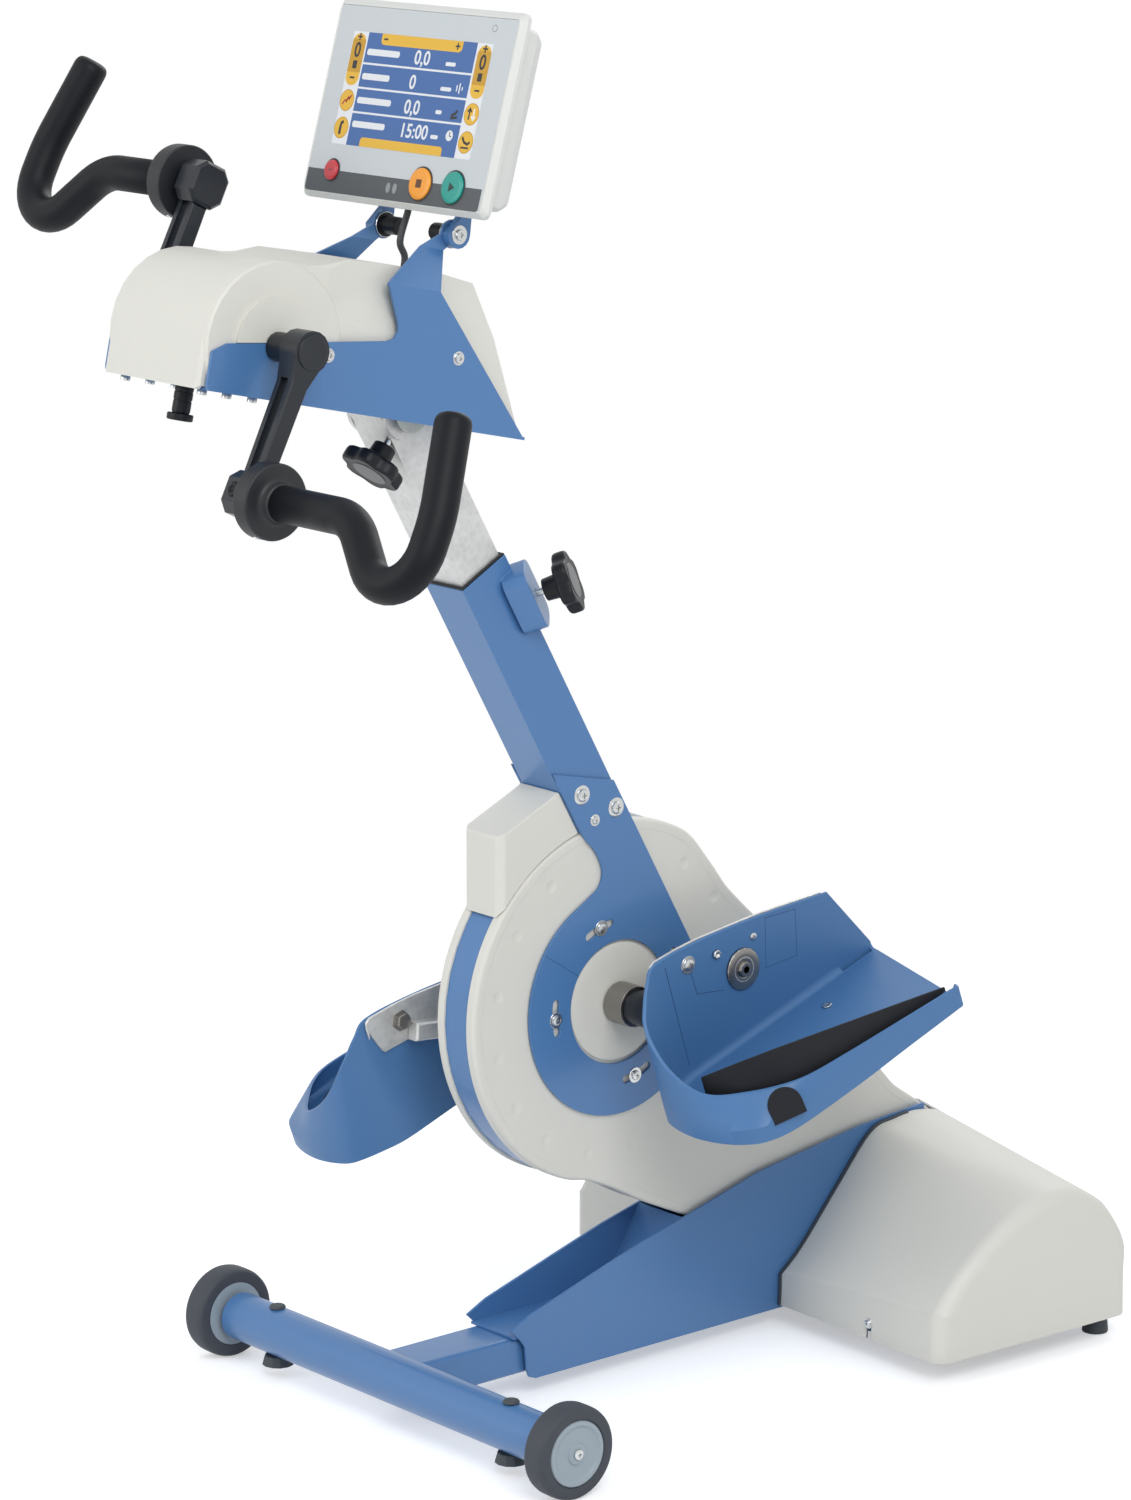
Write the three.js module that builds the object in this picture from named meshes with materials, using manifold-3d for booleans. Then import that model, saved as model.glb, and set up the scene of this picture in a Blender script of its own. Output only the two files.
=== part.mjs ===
// Active and passive trainer for the legs and the arms: a wheeled base, a drum with two leg cranks and foot
// shells, a sliding mast, and a tilting head with two arm cranks and a display.
// Millimetres. X runs across the machine, +Y away from the user, +Z up.
import * as THREE from 'three';
import { mergeVertices } from 'three/addons/utils/BufferGeometryUtils.js';
import Module from 'manifold-3d';

const wasm = await Module();
wasm.setup();

// Driving dimensions
const gap = 0.3; // left between pieces that touch
const overrun = 3; // how far a cutter runs past the face that it cuts
const edgeBreak = 1; // a small chamfer
const freeHole = 1; // more radius in a cover's hole than in the shaft that turns in it
const degree = Math.PI / 180;

const floor = { groundClearance: 19.4 };

const wheel = { radius: 47.5, hubRadius: 33.4, width: 29, standOff: 5.5, capWall: 5, edge: 4, dish: 3 };
const spindle = { radius: 8, reach: 29 };
const crossTube = { radius: 25, halfLength: 254, edge: 2 };
const buffer = { fromEnd: 66, padRadius: 17, padHeight: 10.5, stemRadius: 5, capRadius: 9, capHeight: 3 };

const beam = { halfWidth: 30, bottom: 25.5, height: 40, corner: 5, rearEnd: 715.7 };
const hoodArm = { reach: 215, front: 503, depth: 22, bottom: 28, height: 20 };
const rearTube = { halfLength: 284, front: 716, depth: 40, corner: 4 };
const rearFoot = { fromEnd: 16, fromBack: 13, radius: 12, flare: 2 };

const channel = { halfWidth: 36.9, wall: 3, front: 127, rear: 712, rearHeight: 187, deckFront: 132 };
const hub = { y: 274.5, z: 397.7 }; // the leg crank's axis
const drum = { radius: 190, halfWidth: 29.7, seam: 17.6, wall: 3, edge: 4 };
const band = { sink: 2, wall: 3 };
const shaftBoss = { bearingRadius: 21, bearingWidth: 8, wall: 4.5 };
const dish = { rim: 62, height: 2.2, slope: 9 };

const column = { lean: 29.4, halfWidth: 29.7, halfDepth: 31, wall: 2, offset: 77.3, topReach: 491.8 };
const mastTube = { halfWidth: 25, halfDepth: 27, wall: 2.5, rise: 193.6, overlap: 163, headroom: 30 };
const guide = { lip: 1.6, depth: 30 };
const clampBoss = { halfLength: 34, halfBreadth: 21, corner: 12, reach: 12.5, below: 52.6, bite: 5.5 };
const starKnob = { radius: 31.5, thickness: 15, lobes: 6, hubRadius: 13, hubLength: 17 };
const stud = { radius: 4.2 };
const nose = { front: 119.5, foot: 505, brow: 593, chamfer: 7, step: 160, top: 239 };
const ringPlate = { outer: 119.5, flat: 109.4, inner: 65, wall: 3.3, slotRadius: 85, slotHalf: 4.2, slotTurn: 10.5,
  sweep: 240, easeTurn: 50 };
const strip = { frontTop: 238, peak: 262, rearTop: 207 };

const shaft = { radius: 10, collarRadius: 21.7, collarStart: 33.5, collarEnd: 60, end: 86 };
const pulley = { radius: 112, width: 14, hubRadius: 26, lip: 3 };
const belt = { thickness: 3.5, width: 10 };
const motor = { y: 212, z: -112, radius: 48, halfLength: 25, rotorRadius: 16, shaftRadius: 5, clearFace: 9 };

const legCrank = { throw: 107, angle: 17.6, inner: 60.3, armInner: 64, armOuter: 80, outer: 90, edge: 1.5 };
const legCrankEye = { hubRadius: 18, pinRadius: 14 };
const pedalPin = { radius: 6, headRadius: 9, head: 3, proud: 3.5 };
const foot = { pitch: 20, inner: 104, width: 161, length: 170, sole: -73, underside: -84, tilt: 8, wall: 4,
  slitStart: 96, slitRise: 2.5 };
const strapNotch = { heelward: 10, toeward: 14, foot: 0.5, top: 19 }; // in the shell's outer wall
const carrier = { plate: 3.4, block: 16, hubRadius: 10, discRadius: 22, disc: 3, blockHeight: 19, blockReach: 68,
  reach: 109, blockTurn: 155.7, edge: 2 };
// The strap's upper edge falls towards the toe and the inner wall by these shares of the way
const strap = { thickness: 2.4, width: 50, level: 28, inset: 8, toeFall: 0.263, innerFall: 0.516 };

const head = { tilt: -12.7, pivotBack: 209.3, pivotDrop: 42, halfWidth: 80.3, wall: 3, floor: -50.4 };
const headPlate = { front: -73, rear: 318.5, brow: 0.5, waist: 24.5, armFront: 120, armRear: 184, bend: 76 };
const headSlot = { front: 158, rear: 272, halfWidth: 30.5 };
const ear = { wall: 5, radius: 15, boreRadius: 5.3 };
const screenPivot = { back: 208.6, up: 133, armOuter: 53.7, radius: 14, boreRadius: 4.3 };
const armBend = { front: 36, rear: 8, drop: 17 }; // the display arm's second bend, from its pivot
const hood = { radius: 79, halfWidth: 73.5, topHalfWidth: 57, rear: 320.5, crown: 92, wall: 3.5, discRaise: 3 };
const armHub = { discRadius: 46, discRaise: 3.3, stubRadius: 14, shaftRadius: 10, stubEnd: 108.7, shaftEnd: 126 };
const armMotor = { radius: 46, halfLength: 50, footHalf: 40 };
const armCrank = { throw: 143.9, angle: -116.4, inner: 109, outer: 134, bossRadius: 20, waist: 10, block: 21,
  blockProud: 4, edge: 1.5 };
const armPin = { radius: 6, seatWall: 5 };
const grip = { radius: 17.25, discRadius: 36, disc: 20, discStart: 141, corner: 275, lean: 25.6, bend: 40 };
// The handle's runs after its first corner: out and down, up to a knee, and up to its end
const gripRun = { out: 114, down: 110.5, kneeOut: 109.6, kneeUp: 18, endOut: 87, endUp: 100.4 };
const plunger = { back: 37, barrelRadius: 9, barrel: 26, discRadius: 12.5, disc: 7, stemRadius: 4, stem: 14 };

const display = { lean: -15.9, halfWidth: 141, height: 197, lip: 9, bevel: 5, below: 18.9, behind: 40.5, depth: 40,
  inset: 16 };
const glass = { halfWidth: 133, height: 182, thickness: 1.6 };
const button = { radius: 15.5, standbyRadius: 10, proud: 3.2, travel: 1.5, stemRadius: 6, stem: 6 };
const lug = { wall: 9.5, radius: 13.5, pinRadius: 4 };
const tiltNut = { radius: 9, length: 24, washerRadius: 12, washer: 2.4 };
const lead = { radius: 3.4 };

// Materials
const paint = (colour, roughness, metalness = 0) =>
  new THREE.MeshStandardMaterial({ color: colour, roughness, metalness });
const blue = paint(0x4a7ab2, 0.45);
const beige = paint(0xd3d2c9, 0.55);
const black = paint(0x20232a, 0.5);
const rubber = paint(0x1b1c1e, 0.9);
const steel = paint(0xb9bbb8, 0.35, 0.9);
const zinc = paint(0xc9cac8, 0.5, 0.6);
const cast = paint(0x7c8084, 0.6, 0.7);
const grey = paint(0xb4b9be, 0.5);
const darkGlass = paint(0x9aa1a8, 0.15);
const orange = paint(0xf59a1e, 0.4);
const green = paint(0x10a08c, 0.4);
const red = paint(0xd84848, 0.4);

// Solids and booleans
const mergeTolerance = 1e-4;
const corner = [new THREE.Vector3(), new THREE.Vector3(), new THREE.Vector3()];

// A closed geometry as a solid, with its shared corners merged and its faces turned outwards
function solid(geometry) {
  const bare = geometry.clone();
  bare.deleteAttribute('normal');
  bare.deleteAttribute('uv');
  const merged = mergeVertices(bare, mergeTolerance);
  const place = merged.attributes.position;
  const index = merged.index.array;
  const faces = [];
  let volume = 0;
  for (let i = 0; i < index.length; i += 3) {
    const face = [index[i], index[i + 1], index[i + 2]];
    if (new Set(face).size < 3) continue;
    faces.push(...face);
    face.forEach((vertex, k) => corner[k].fromBufferAttribute(place, vertex));
    volume += corner[0].dot(corner[1].cross(corner[2]));
  }
  if (volume < 0) faces.reverse();
  return new wasm.Manifold(new wasm.Mesh({
    numProp: 3,
    vertProperties: new Float32Array(place.array),
    triVerts: new Uint32Array(faces),
  }));
}

function geometryOf(body) {
  const mesh = body.getMesh();
  const geometry = new THREE.BufferGeometry();
  geometry.setAttribute('position', new THREE.BufferAttribute(mesh.vertProperties, 3));
  geometry.setIndex(new THREE.BufferAttribute(mesh.triVerts, 1));
  geometry.computeVertexNormals();
  return geometry;
}

const asSolid = (shape) => (shape.isBufferGeometry ? solid(shape) : shape);
const join = (first, ...others) => others.reduce((sum, other) => sum.add(asSolid(other)), asSolid(first));
const cut = (first, ...others) => others.reduce((rest, other) => rest.subtract(asSolid(other)), asSolid(first));
const common = (first, ...others) => others.reduce((rest, other) => rest.intersect(asSolid(other)), asSolid(first));

function piece(name, shape, material, group) {
  const mesh = new THREE.Mesh(geometryOf(asSolid(shape)), material);
  mesh.name = name;
  group.add(mesh);
  return mesh;
}

// Outlines
// An outline with its corners rounded: each corner is [a, b] or [a, b, radius]
function rounded(corners, steps = 4) {
  const path = [];
  corners.forEach(([a, b, radius = 0], i) => {
    if (!radius) {
      path.push([a, b]);
      return;
    }
    const here = new THREE.Vector2(a, b);
    const before = new THREE.Vector2(...corners[(i + corners.length - 1) % corners.length]).sub(here).normalize();
    const after = new THREE.Vector2(...corners[(i + 1) % corners.length]).sub(here).normalize();
    const half = Math.acos(Math.min(1, Math.max(-1, before.dot(after)))) / 2;
    const centre = before.clone().add(after).normalize().multiplyScalar(radius / Math.sin(half)).add(here);
    const start = before.multiplyScalar(radius / Math.tan(half)).add(here).sub(centre).angle();
    const end = after.multiplyScalar(radius / Math.tan(half)).add(here).sub(centre).angle();
    const sweep = Math.atan2(Math.sin(end - start), Math.cos(end - start));
    for (let k = 0; k <= steps; k += 1) {
      const turn = start + (sweep * k) / steps;
      path.push([centre.x + radius * Math.cos(turn), centre.y + radius * Math.sin(turn)]);
    }
  });
  return path;
}

// The same outline moved inwards by a distance, or outwards by a negative one
function inset(points, distance) {
  const around = points.map(([a, b]) => new THREE.Vector2(a, b));
  const turn = Math.sign(THREE.ShapeUtils.area(around));
  return around.map((here, i) => {
    const before = around[(i + around.length - 1) % around.length];
    const after = around[(i + 1) % around.length];
    const first = here.clone().sub(before).normalize();
    const second = after.clone().sub(here).normalize();
    const middle = first.clone().add(second).normalize();
    const reach = (distance * turn) / Math.max(Math.abs(middle.dot(first)), 0.5);
    return [here.x - middle.y * reach, here.y + middle.x * reach];
  });
}

function arc(y, z, radius, from, to, steps) {
  return Array.from({ length: steps + 1 }, (_, k) => {
    const turn = (from + ((to - from) * k) / steps) * degree;
    return [y + radius * Math.cos(turn), z + radius * Math.sin(turn)];
  });
}

const shapeOf = (points) => new THREE.Shape(points.map(([a, b]) => new THREE.Vector2(a, b)));

// An outline in Y and Z pushed along X, with its two edges bevelled if asked
const sideways = new THREE.Matrix4().makeBasis(
  new THREE.Vector3(0, 1, 0), new THREE.Vector3(0, 0, 1), new THREE.Vector3(1, 0, 0));
function plate(points, from, to, bevel = 0) {
  const geometry = new THREE.ExtrudeGeometry(shapeOf(points), {
    depth: to - from - 2 * bevel,
    bevelEnabled: bevel > 0,
    bevelThickness: bevel,
    bevelSize: bevel,
    bevelOffset: -bevel,
    bevelSegments: 1,
  });
  return geometry.applyMatrix4(sideways).translate(from + bevel, 0, 0);
}

// An outline in X and Z pushed along Y
const lengthways = new THREE.Matrix4().makeBasis(
  new THREE.Vector3(1, 0, 0), new THREE.Vector3(0, 0, 1), new THREE.Vector3(0, -1, 0));
function bar(points, from, to) {
  const geometry = new THREE.ExtrudeGeometry(shapeOf(points), { depth: to - from, bevelEnabled: false });
  return geometry.applyMatrix4(lengthways).translate(0, to, 0);
}

// An outline in X and Y pushed along Z
function slab(points, from, to) {
  const geometry = new THREE.ExtrudeGeometry(shapeOf(points), { depth: to - from, bevelEnabled: false });
  return geometry.translate(0, 0, from);
}

function box(x0, x1, y0, y1, z0, z1) {
  return new THREE.BoxGeometry(x1 - x0, y1 - y0, z1 - z0).translate((x0 + x1) / 2, (y0 + y1) / 2, (z0 + z1) / 2);
}

// A profile of [place, radius] points turned about the X axis, or about Z
const latheToX = new THREE.Matrix4().makeBasis(
  new THREE.Vector3(0, 1, 0), new THREE.Vector3(1, 0, 0), new THREE.Vector3(0, 0, -1));
const profile = (points) => points.map(([place, radius]) => new THREE.Vector2(radius, place));
const turnedX = (points, sides = 32) => new THREE.LatheGeometry(profile(points), sides).applyMatrix4(latheToX);
const turnedZ = (points, sides = 24) => new THREE.LatheGeometry(profile(points), sides).rotateX(90 * degree);

// A round bar along X, which closes on its axis
const barX = (radius, from, to, sides = 24) =>
  turnedX([[from, 0], [from, radius], [to, radius], [to, 0]], sides);

// A disc outline with its corner on the axis' level, so that it stands on its lowest corner
const circle = (y, z, radius, sides = 48) => arc(y, z, radius, 0, 360 - 360 / sides, sides - 1);

// A closed skin through rings of equally many points, with flat ends
function loft(rings, flat) {
  const count = rings[0].length;
  const places = rings.flat().flatMap((point) => [point.x, point.y, point.z]);
  const faces = [];
  for (let ring = 0; ring + 1 < rings.length; ring += 1) {
    for (let i = 0; i < count; i += 1) {
      const here = ring * count + i;
      const next = ring * count + ((i + 1) % count);
      faces.push(here, next, next + count, here, next + count, here + count);
    }
  }
  const cap = THREE.ShapeUtils.triangulateShape(rings[0].map(flat), []);
  const last = (rings.length - 1) * count;
  const turn = Math.sign(THREE.ShapeUtils.area(rings[0].map(flat)));
  cap.forEach(([a, b, c]) => {
    if (turn > 0) faces.push(c, b, a, last + a, last + b, last + c);
    else faces.push(a, b, c, last + c, last + b, last + a);
  });
  const geometry = new THREE.BufferGeometry();
  geometry.setAttribute('position', new THREE.Float32BufferAttribute(places, 3));
  geometry.setIndex(faces);
  return geometry;
}

// The same shape on the other side of the machine
function mirrored(shape) {
  const geometry = geometryOf(asSolid(shape)).clone();
  geometry.scale(-1, 1, 1);
  return solid(geometry);
}
const sides = [['right', (shape) => asSolid(shape)], ['left', mirrored]];

const trainer = new THREE.Group();
const base = new THREE.Group();
trainer.add(base);

// Front cross tube with its spindles, wheels and buffers
const tubeCentre = wheel.radius;
const wheelInner = crossTube.halfLength + wheel.standOff;
const spindleEnd = crossTube.halfLength + spindle.reach;
const bufferPlace = crossTube.halfLength - buffer.fromEnd;
const bufferBore = (side) => turnedZ([
  [0, 0], [0, buffer.stemRadius + gap], [wheel.radius * 2, buffer.stemRadius + gap], [wheel.radius * 2, 0],
], 12).translate(side * bufferPlace, 0, 0);
const tubeProfile = [
  [-spindleEnd, 0], [-spindleEnd, spindle.radius], [-crossTube.halfLength, spindle.radius],
  [-crossTube.halfLength, crossTube.radius - crossTube.edge],
  [crossTube.edge - crossTube.halfLength, crossTube.radius],
];
const wholeTube = [...tubeProfile, ...tubeProfile.map(([place, radius]) => [-place, radius]).reverse()];
piece('front_cross_tube',
  cut(turnedX(wholeTube, 24).translate(0, 0, tubeCentre), bufferBore(1), bufferBore(-1)), blue, base);

const hubBack = wheelInner + gap;
const wheelFace = wheelInner + wheel.width;
const tyreProfile = [
  [wheelInner, wheel.hubRadius + gap], [wheelInner, wheel.radius - wheel.edge],
  [wheelInner + wheel.edge, wheel.radius], [wheelFace - wheel.edge, wheel.radius],
  [wheelFace, wheel.radius - wheel.edge], [wheelFace, wheel.hubRadius + gap],
];
const hubProfile = [
  [spindleEnd + gap, 0], [spindleEnd + gap, spindle.radius + gap], [hubBack, spindle.radius + gap],
  [hubBack, wheel.hubRadius], [wheelFace, wheel.hubRadius], [wheelFace, wheel.hubRadius - wheel.capWall],
  [wheelFace - wheel.dish, wheel.hubRadius - wheel.capWall - wheel.dish],
  [wheelFace - wheel.dish, spindle.radius + wheel.dish], [wheelFace, spindle.radius], [wheelFace, 0],
];
const tyre = turnedX([...tyreProfile, tyreProfile[0]], 24).translate(0, 0, tubeCentre);
const wheelHub = turnedX(hubProfile, 16).translate(0, 0, tubeCentre);

const tubeUnder = tubeCentre - crossTube.radius;
const tubeTop = tubeCentre + crossTube.radius;
const padTop = tubeUnder - gap;
const frontBuffer = turnedZ([
  [padTop - buffer.padHeight, 0], [padTop - buffer.padHeight, buffer.padRadius],
  [padTop, buffer.padRadius - buffer.capHeight], [padTop, buffer.stemRadius],
  [tubeTop + gap, buffer.stemRadius], [tubeTop + gap, buffer.capRadius],
  [tubeTop + gap + buffer.capHeight, buffer.capRadius - buffer.capHeight / 2],
  [tubeTop + gap + buffer.capHeight, 0],
], 12).translate(bufferPlace, 0, 0);
for (const [side, onSide] of sides) {
  piece(`${side}_tyre`, onSide(tyre), rubber, base);
  piece(`${side}_wheel_hub`, onSide(wheelHub), grey, base);
  piece(`${side}_front_buffer`, onSide(frontBuffer), rubber, base);
}

// Main beam and rear cross tube
const beamTop = beam.bottom + beam.height;
const beamSection = rounded([
  [-beam.halfWidth, beam.bottom, beam.corner], [beam.halfWidth, beam.bottom, beam.corner],
  [beam.halfWidth, beamTop, beam.corner], [-beam.halfWidth, beamTop, beam.corner],
], 3);
const saddle = barX(crossTube.radius + gap, -beam.halfWidth - overrun, beam.halfWidth + overrun, 24);
piece('main_beam', cut(bar(beamSection, 0, beam.rearEnd), saddle.translate(0, 0, tubeCentre)), blue, base);
const rearTubeBack = rearTube.front + rearTube.depth;
piece('rear_cross_tube', plate(rounded([
  [rearTube.front, beam.bottom, rearTube.corner], [rearTubeBack, beam.bottom, rearTube.corner],
  [rearTubeBack, beamTop, rearTube.corner], [rearTube.front, beamTop, rearTube.corner],
], 3), -rearTube.halfLength, rearTube.halfLength), blue, base);

const rearFootShape = turnedZ([
  [0, 0], [0, rearFoot.radius + rearFoot.flare], [rearFoot.flare, rearFoot.radius + rearFoot.flare],
  [beam.bottom - gap, rearFoot.radius], [beam.bottom - gap, 0],
], 16).translate(rearTube.halfLength - rearFoot.fromEnd, rearTubeBack - rearFoot.fromBack, 0);

// Folded channel: two side plates, a deck over the beam, a ramp under the drum, two seats for its tail and
// two arms that carry the front of the rear hood
const channelInner = channel.halfWidth - channel.wall;
const deckBottom = beamTop + gap;
const deckTop = deckBottom + channel.wall;
const sideTop = [[0, 0.305], [0.043, 0.37], [0.193, 0.513], [0.313, 0.625], [0.405, 0.697], [0.586, 0.845],
  [0.836, 0.96], [1, 1]]; // shares of the plate's length and height
const channelLength = channel.rear - channel.front;
const sideOutline = rounded([
  [channel.front + channelLength * 0.036, floor.groundClearance, channelLength * 0.02],
  [channel.rear, floor.groundClearance],
  ...sideTop.slice().reverse().map(([alongShare, upShare]) => [
    channel.front + channelLength * alongShare, floor.groundClearance + channel.rearHeight * upShare]),
  [channel.front + channelLength * 0.02, floor.groundClearance + channel.rearHeight * 0.244],
  [channel.front + channelLength * 0.031, floor.groundClearance + channel.rearHeight * 0.196],
]);
const bellyShares = [[-0.208, -0.967], [-0.008, -1.056], [0.208, -1.177], [0.539, -1.33], [0.62, -1.377]];
const tailBottomShare = -1.377;
const belly = bellyShares.map(([alongShare, upShare]) => [hub.y + drum.radius * alongShare,
  hub.z + drum.radius * upShare]);
const tailBottom = hub.z + drum.radius * tailBottomShare;
const rampTop = [belly[2][0] * 0.7 + belly[3][0] * 0.3, belly[2][1] * 0.7 + belly[3][1] * 0.3 - 2 * gap];
const ramp = [
  [channel.front + channelLength * 0.13, deckTop - gap], [channel.front + channelLength * 0.17, deckTop + channel.wall * 5],
  [channel.front + channelLength * 0.293, deckTop + channel.wall * 10], rampTop,
  [rampTop[0] + channel.wall, rampTop[1] - 2 * channel.wall],
  [channel.front + channelLength * 0.3, deckTop + channel.wall * 9],
  [channel.front + channelLength * 0.174, deckTop + channel.wall * 4],
  [channel.front + channelLength * 0.14, deckTop - gap],
];
const seat = (share) => box(-channelInner - gap, channelInner + gap, channel.front + channelLength * share,
  channel.front + channelLength * share + channel.wall, deckTop - gap, tailBottom - gap);
const hoodCarrier = (from, to) => box(from, to, hoodArm.front, hoodArm.front + hoodArm.depth, hoodArm.bottom,
  hoodArm.bottom + hoodArm.height);
piece('channel_frame', join(
  hoodCarrier(channelInner + gap, hoodArm.reach), hoodCarrier(-hoodArm.reach, -channelInner - gap),
  plate(sideOutline, channelInner, channel.halfWidth),
  plate(sideOutline, -channel.halfWidth, -channelInner),
  box(-channelInner - gap, channelInner + gap, channel.deckFront, channel.rear, deckBottom, deckTop),
  plate(ramp, -channelInner - gap, channelInner + gap), seat(0.53), seat(0.88)), blue, base);

// Rear hood: a moulded cover lofted from its low ends to its high middle, slotted for the channel
const rearHood = { front: 490, rear: 768, foot: 24, height: 186, halfWidth: 289, flare: 11, slot: 38.4, tail: 26,
  edge: 6, wall: 3 };
// Each profile point as shares of the hood's length and height: first at the middle, then at the ends
const hoodShares = [
  [0.03, 0, 0, 0], [0.035, 0.172, 0, 0.269], [0.14, 0.29, 0.12, 0.49], [0.33, 0.62, 0.306, 0.694],
  [0.5, 0.909, 0.45, 0.79], [0.62, 0.958, 0.576, 0.839], [0.76, 0.977, 0.7, 0.812], [0.9, 0.93, 0.82, 0.715],
  [0.965, 0.78, 0.889, 0.629], [0.99, 0.6, 0.971, 0.435], [1, 0.3, 0.975, 0.25], [1, 0, 0.978, 0],
];
function hoodProfile(share, inwards, drop) {
  const length = rearHood.rear - rearHood.front;
  const outline = hoodShares.map(([midY, midZ, endY, endZ]) => [
    rearHood.front + length * (midY + (endY - midY) * share),
    rearHood.foot + rearHood.height * (midZ + (endZ - midZ) * share)]);
  const shrunk = inset(outline, inwards);
  shrunk[0] = [outline[0][0] + inwards, rearHood.foot - drop];
  shrunk[shrunk.length - 1] = [outline[outline.length - 1][0] - inwards, rearHood.foot - drop];
  return shrunk;
}
function hoodSkin(inwards, drop, endInset) {
  const stations = [-1, -0.96, 0, 0.96, 1];
  const rings = stations.map((station) => {
    const atEnd = Math.abs(station) === 1;
    const outline = hoodProfile(Math.abs(station), inwards + (atEnd ? endInset : 0), drop);
    return outline.map(([y, z]) => {
      const flare = (rearHood.flare * (y - rearHood.front)) / (rearHood.rear - rearHood.front);
      return new THREE.Vector3(station * (rearHood.halfWidth + flare - inwards), y, z);
    });
  });
  return loft(rings, (point) => new THREE.Vector2(point.y, point.z));
}
const slotRear = channel.rear + rearHood.tail;
const hoodRib = (side) => box(side * hoodArm.reach * 0.75 - rearHood.wall / 2,
  side * hoodArm.reach * 0.75 + rearHood.wall / 2, rearTube.front + rearTube.corner, rearTubeBack - rearTube.corner,
  beamTop + gap, rearHood.foot + rearHood.height);
const hoodShell = cut(hoodSkin(0, 0, rearHood.edge), hoodSkin(rearHood.wall, overrun, rearHood.edge));
const screwSlot = { place: 180, halfWidth: 5, height: 16 };
const slotCut = (side) => box(side * screwSlot.place - screwSlot.halfWidth, side * screwSlot.place + screwSlot.halfWidth,
  rearHood.front - overrun, hoodArm.front - gap, rearHood.foot - overrun, rearHood.foot + screwSlot.height);
const inlet = { place: 150, height: 88, halfWidth: 20, halfHeight: 12, depth: 16, flange: 2.5, rim: 4 };
const inletShare = (inlet.place - inlet.halfWidth - inlet.rim) / rearHood.halfWidth;
const inletBack = gap + Math.max(...hoodProfile(inletShare, 0, 0).map(([y]) => y));
const inletBody = (extra) => box(inlet.place - inlet.halfWidth - extra, inlet.place + inlet.halfWidth + extra,
  inletBack - inlet.depth, inletBack + inlet.flange, inlet.height - inlet.halfHeight - extra,
  inlet.height + inlet.halfHeight + extra);
piece('base_hood', cut(
  join(hoodShell, common(join(hoodRib(1), hoodRib(-1)), hoodSkin(gap, 0, rearHood.edge))),
  box(-rearHood.slot, rearHood.slot, rearHood.front - overrun, slotRear, 0, rearHood.foot + rearHood.height * 2),
  slotCut(1), slotCut(-1), inletBody(gap)), beige, base);
const inletWell = inlet.halfWidth * 0.7;
piece('mains_inlet', cut(
  join(inletBody(0), box(inlet.place - inlet.halfWidth - inlet.rim, inlet.place + inlet.halfWidth + inlet.rim,
    inletBack, inletBack + inlet.flange, inlet.height - inlet.halfHeight - inlet.rim,
    inlet.height + inlet.halfHeight + inlet.rim)),
  box(inlet.place - inletWell, inlet.place + inletWell, inletBack - inlet.depth * 0.8, inletBack + inlet.flange * 2,
    inlet.height - inlet.halfHeight * 0.7, inlet.height + inlet.halfHeight * 0.7)), black, base);

// Leg drive: two housing shells on a band, with the shaft, pulley, belt and motor between them
const tailShares = [[0.56, 0.815], [0.724, 0.612], [0.797, 0.512], [0.934, 0.38], [1.045, 0.28], [2.103, -0.872],
  [2.224, -0.951], [2.413, -1.083], [2.413, tailBottomShare]];
const housing = [
  ...arc(hub.y, hub.z, drum.radius, 60, 252, 24),
  ...belly,
  ...tailShares.slice().reverse().map(([alongShare, upShare]) => [
    hub.y + drum.radius * alongShare, hub.z + drum.radius * upShare]),
];
const cavity = inset(housing, drum.wall);
const shellFace = drum.halfWidth - drum.wall;
const bossStart = drum.seam + gap;
const bearingHole = shaftBoss.bearingRadius + gap;
const shellBody = join(
  cut(plate(housing, drum.seam - drum.edge * 2, drum.halfWidth, drum.edge),
    box(0, drum.seam, 0, channel.rear * 2, 0, drum.radius * 4),
    plate(cavity, 0, shellFace)),
  turnedX([
    [bossStart, bearingHole], [bossStart, bearingHole + shaftBoss.wall],
    [shellFace + gap, bearingHole + shaftBoss.wall], [shellFace + gap, bearingHole], [bossStart, bearingHole],
  ], 16).translate(0, hub.y, hub.z),
  turnedX([
    [drum.halfWidth - gap, 0], [drum.halfWidth - gap, dish.rim], [drum.halfWidth + gap, dish.rim],
    [drum.halfWidth + dish.height, dish.rim - dish.slope], [drum.halfWidth + dish.height, 0],
  ], 24).translate(0, hub.y, hub.z));
const housingShell = cut(shellBody,
  barX(shaft.radius + freeHole, 0, drum.halfWidth * 2, 12).translate(0, hub.y, hub.z),
  barX(bearingHole, 0, shellFace, 16).translate(0, hub.y, hub.z));
const bearing = turnedX([
  [bossStart + gap, shaft.radius + gap], [bossStart + gap, shaftBoss.bearingRadius],
  [bossStart + gap + shaftBoss.bearingWidth, shaftBoss.bearingRadius],
  [bossStart + gap + shaftBoss.bearingWidth, shaft.radius + gap], [bossStart + gap, shaft.radius + gap],
], 16).translate(0, hub.y, hub.z);
const bandHalf = drum.seam - gap;
piece('drum_band', cut(plate(inset(housing, band.sink), -bandHalf, bandHalf),
  plate(inset(housing, band.sink + band.wall), -bandHalf - overrun, bandHalf + overrun)), blue, base);

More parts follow.
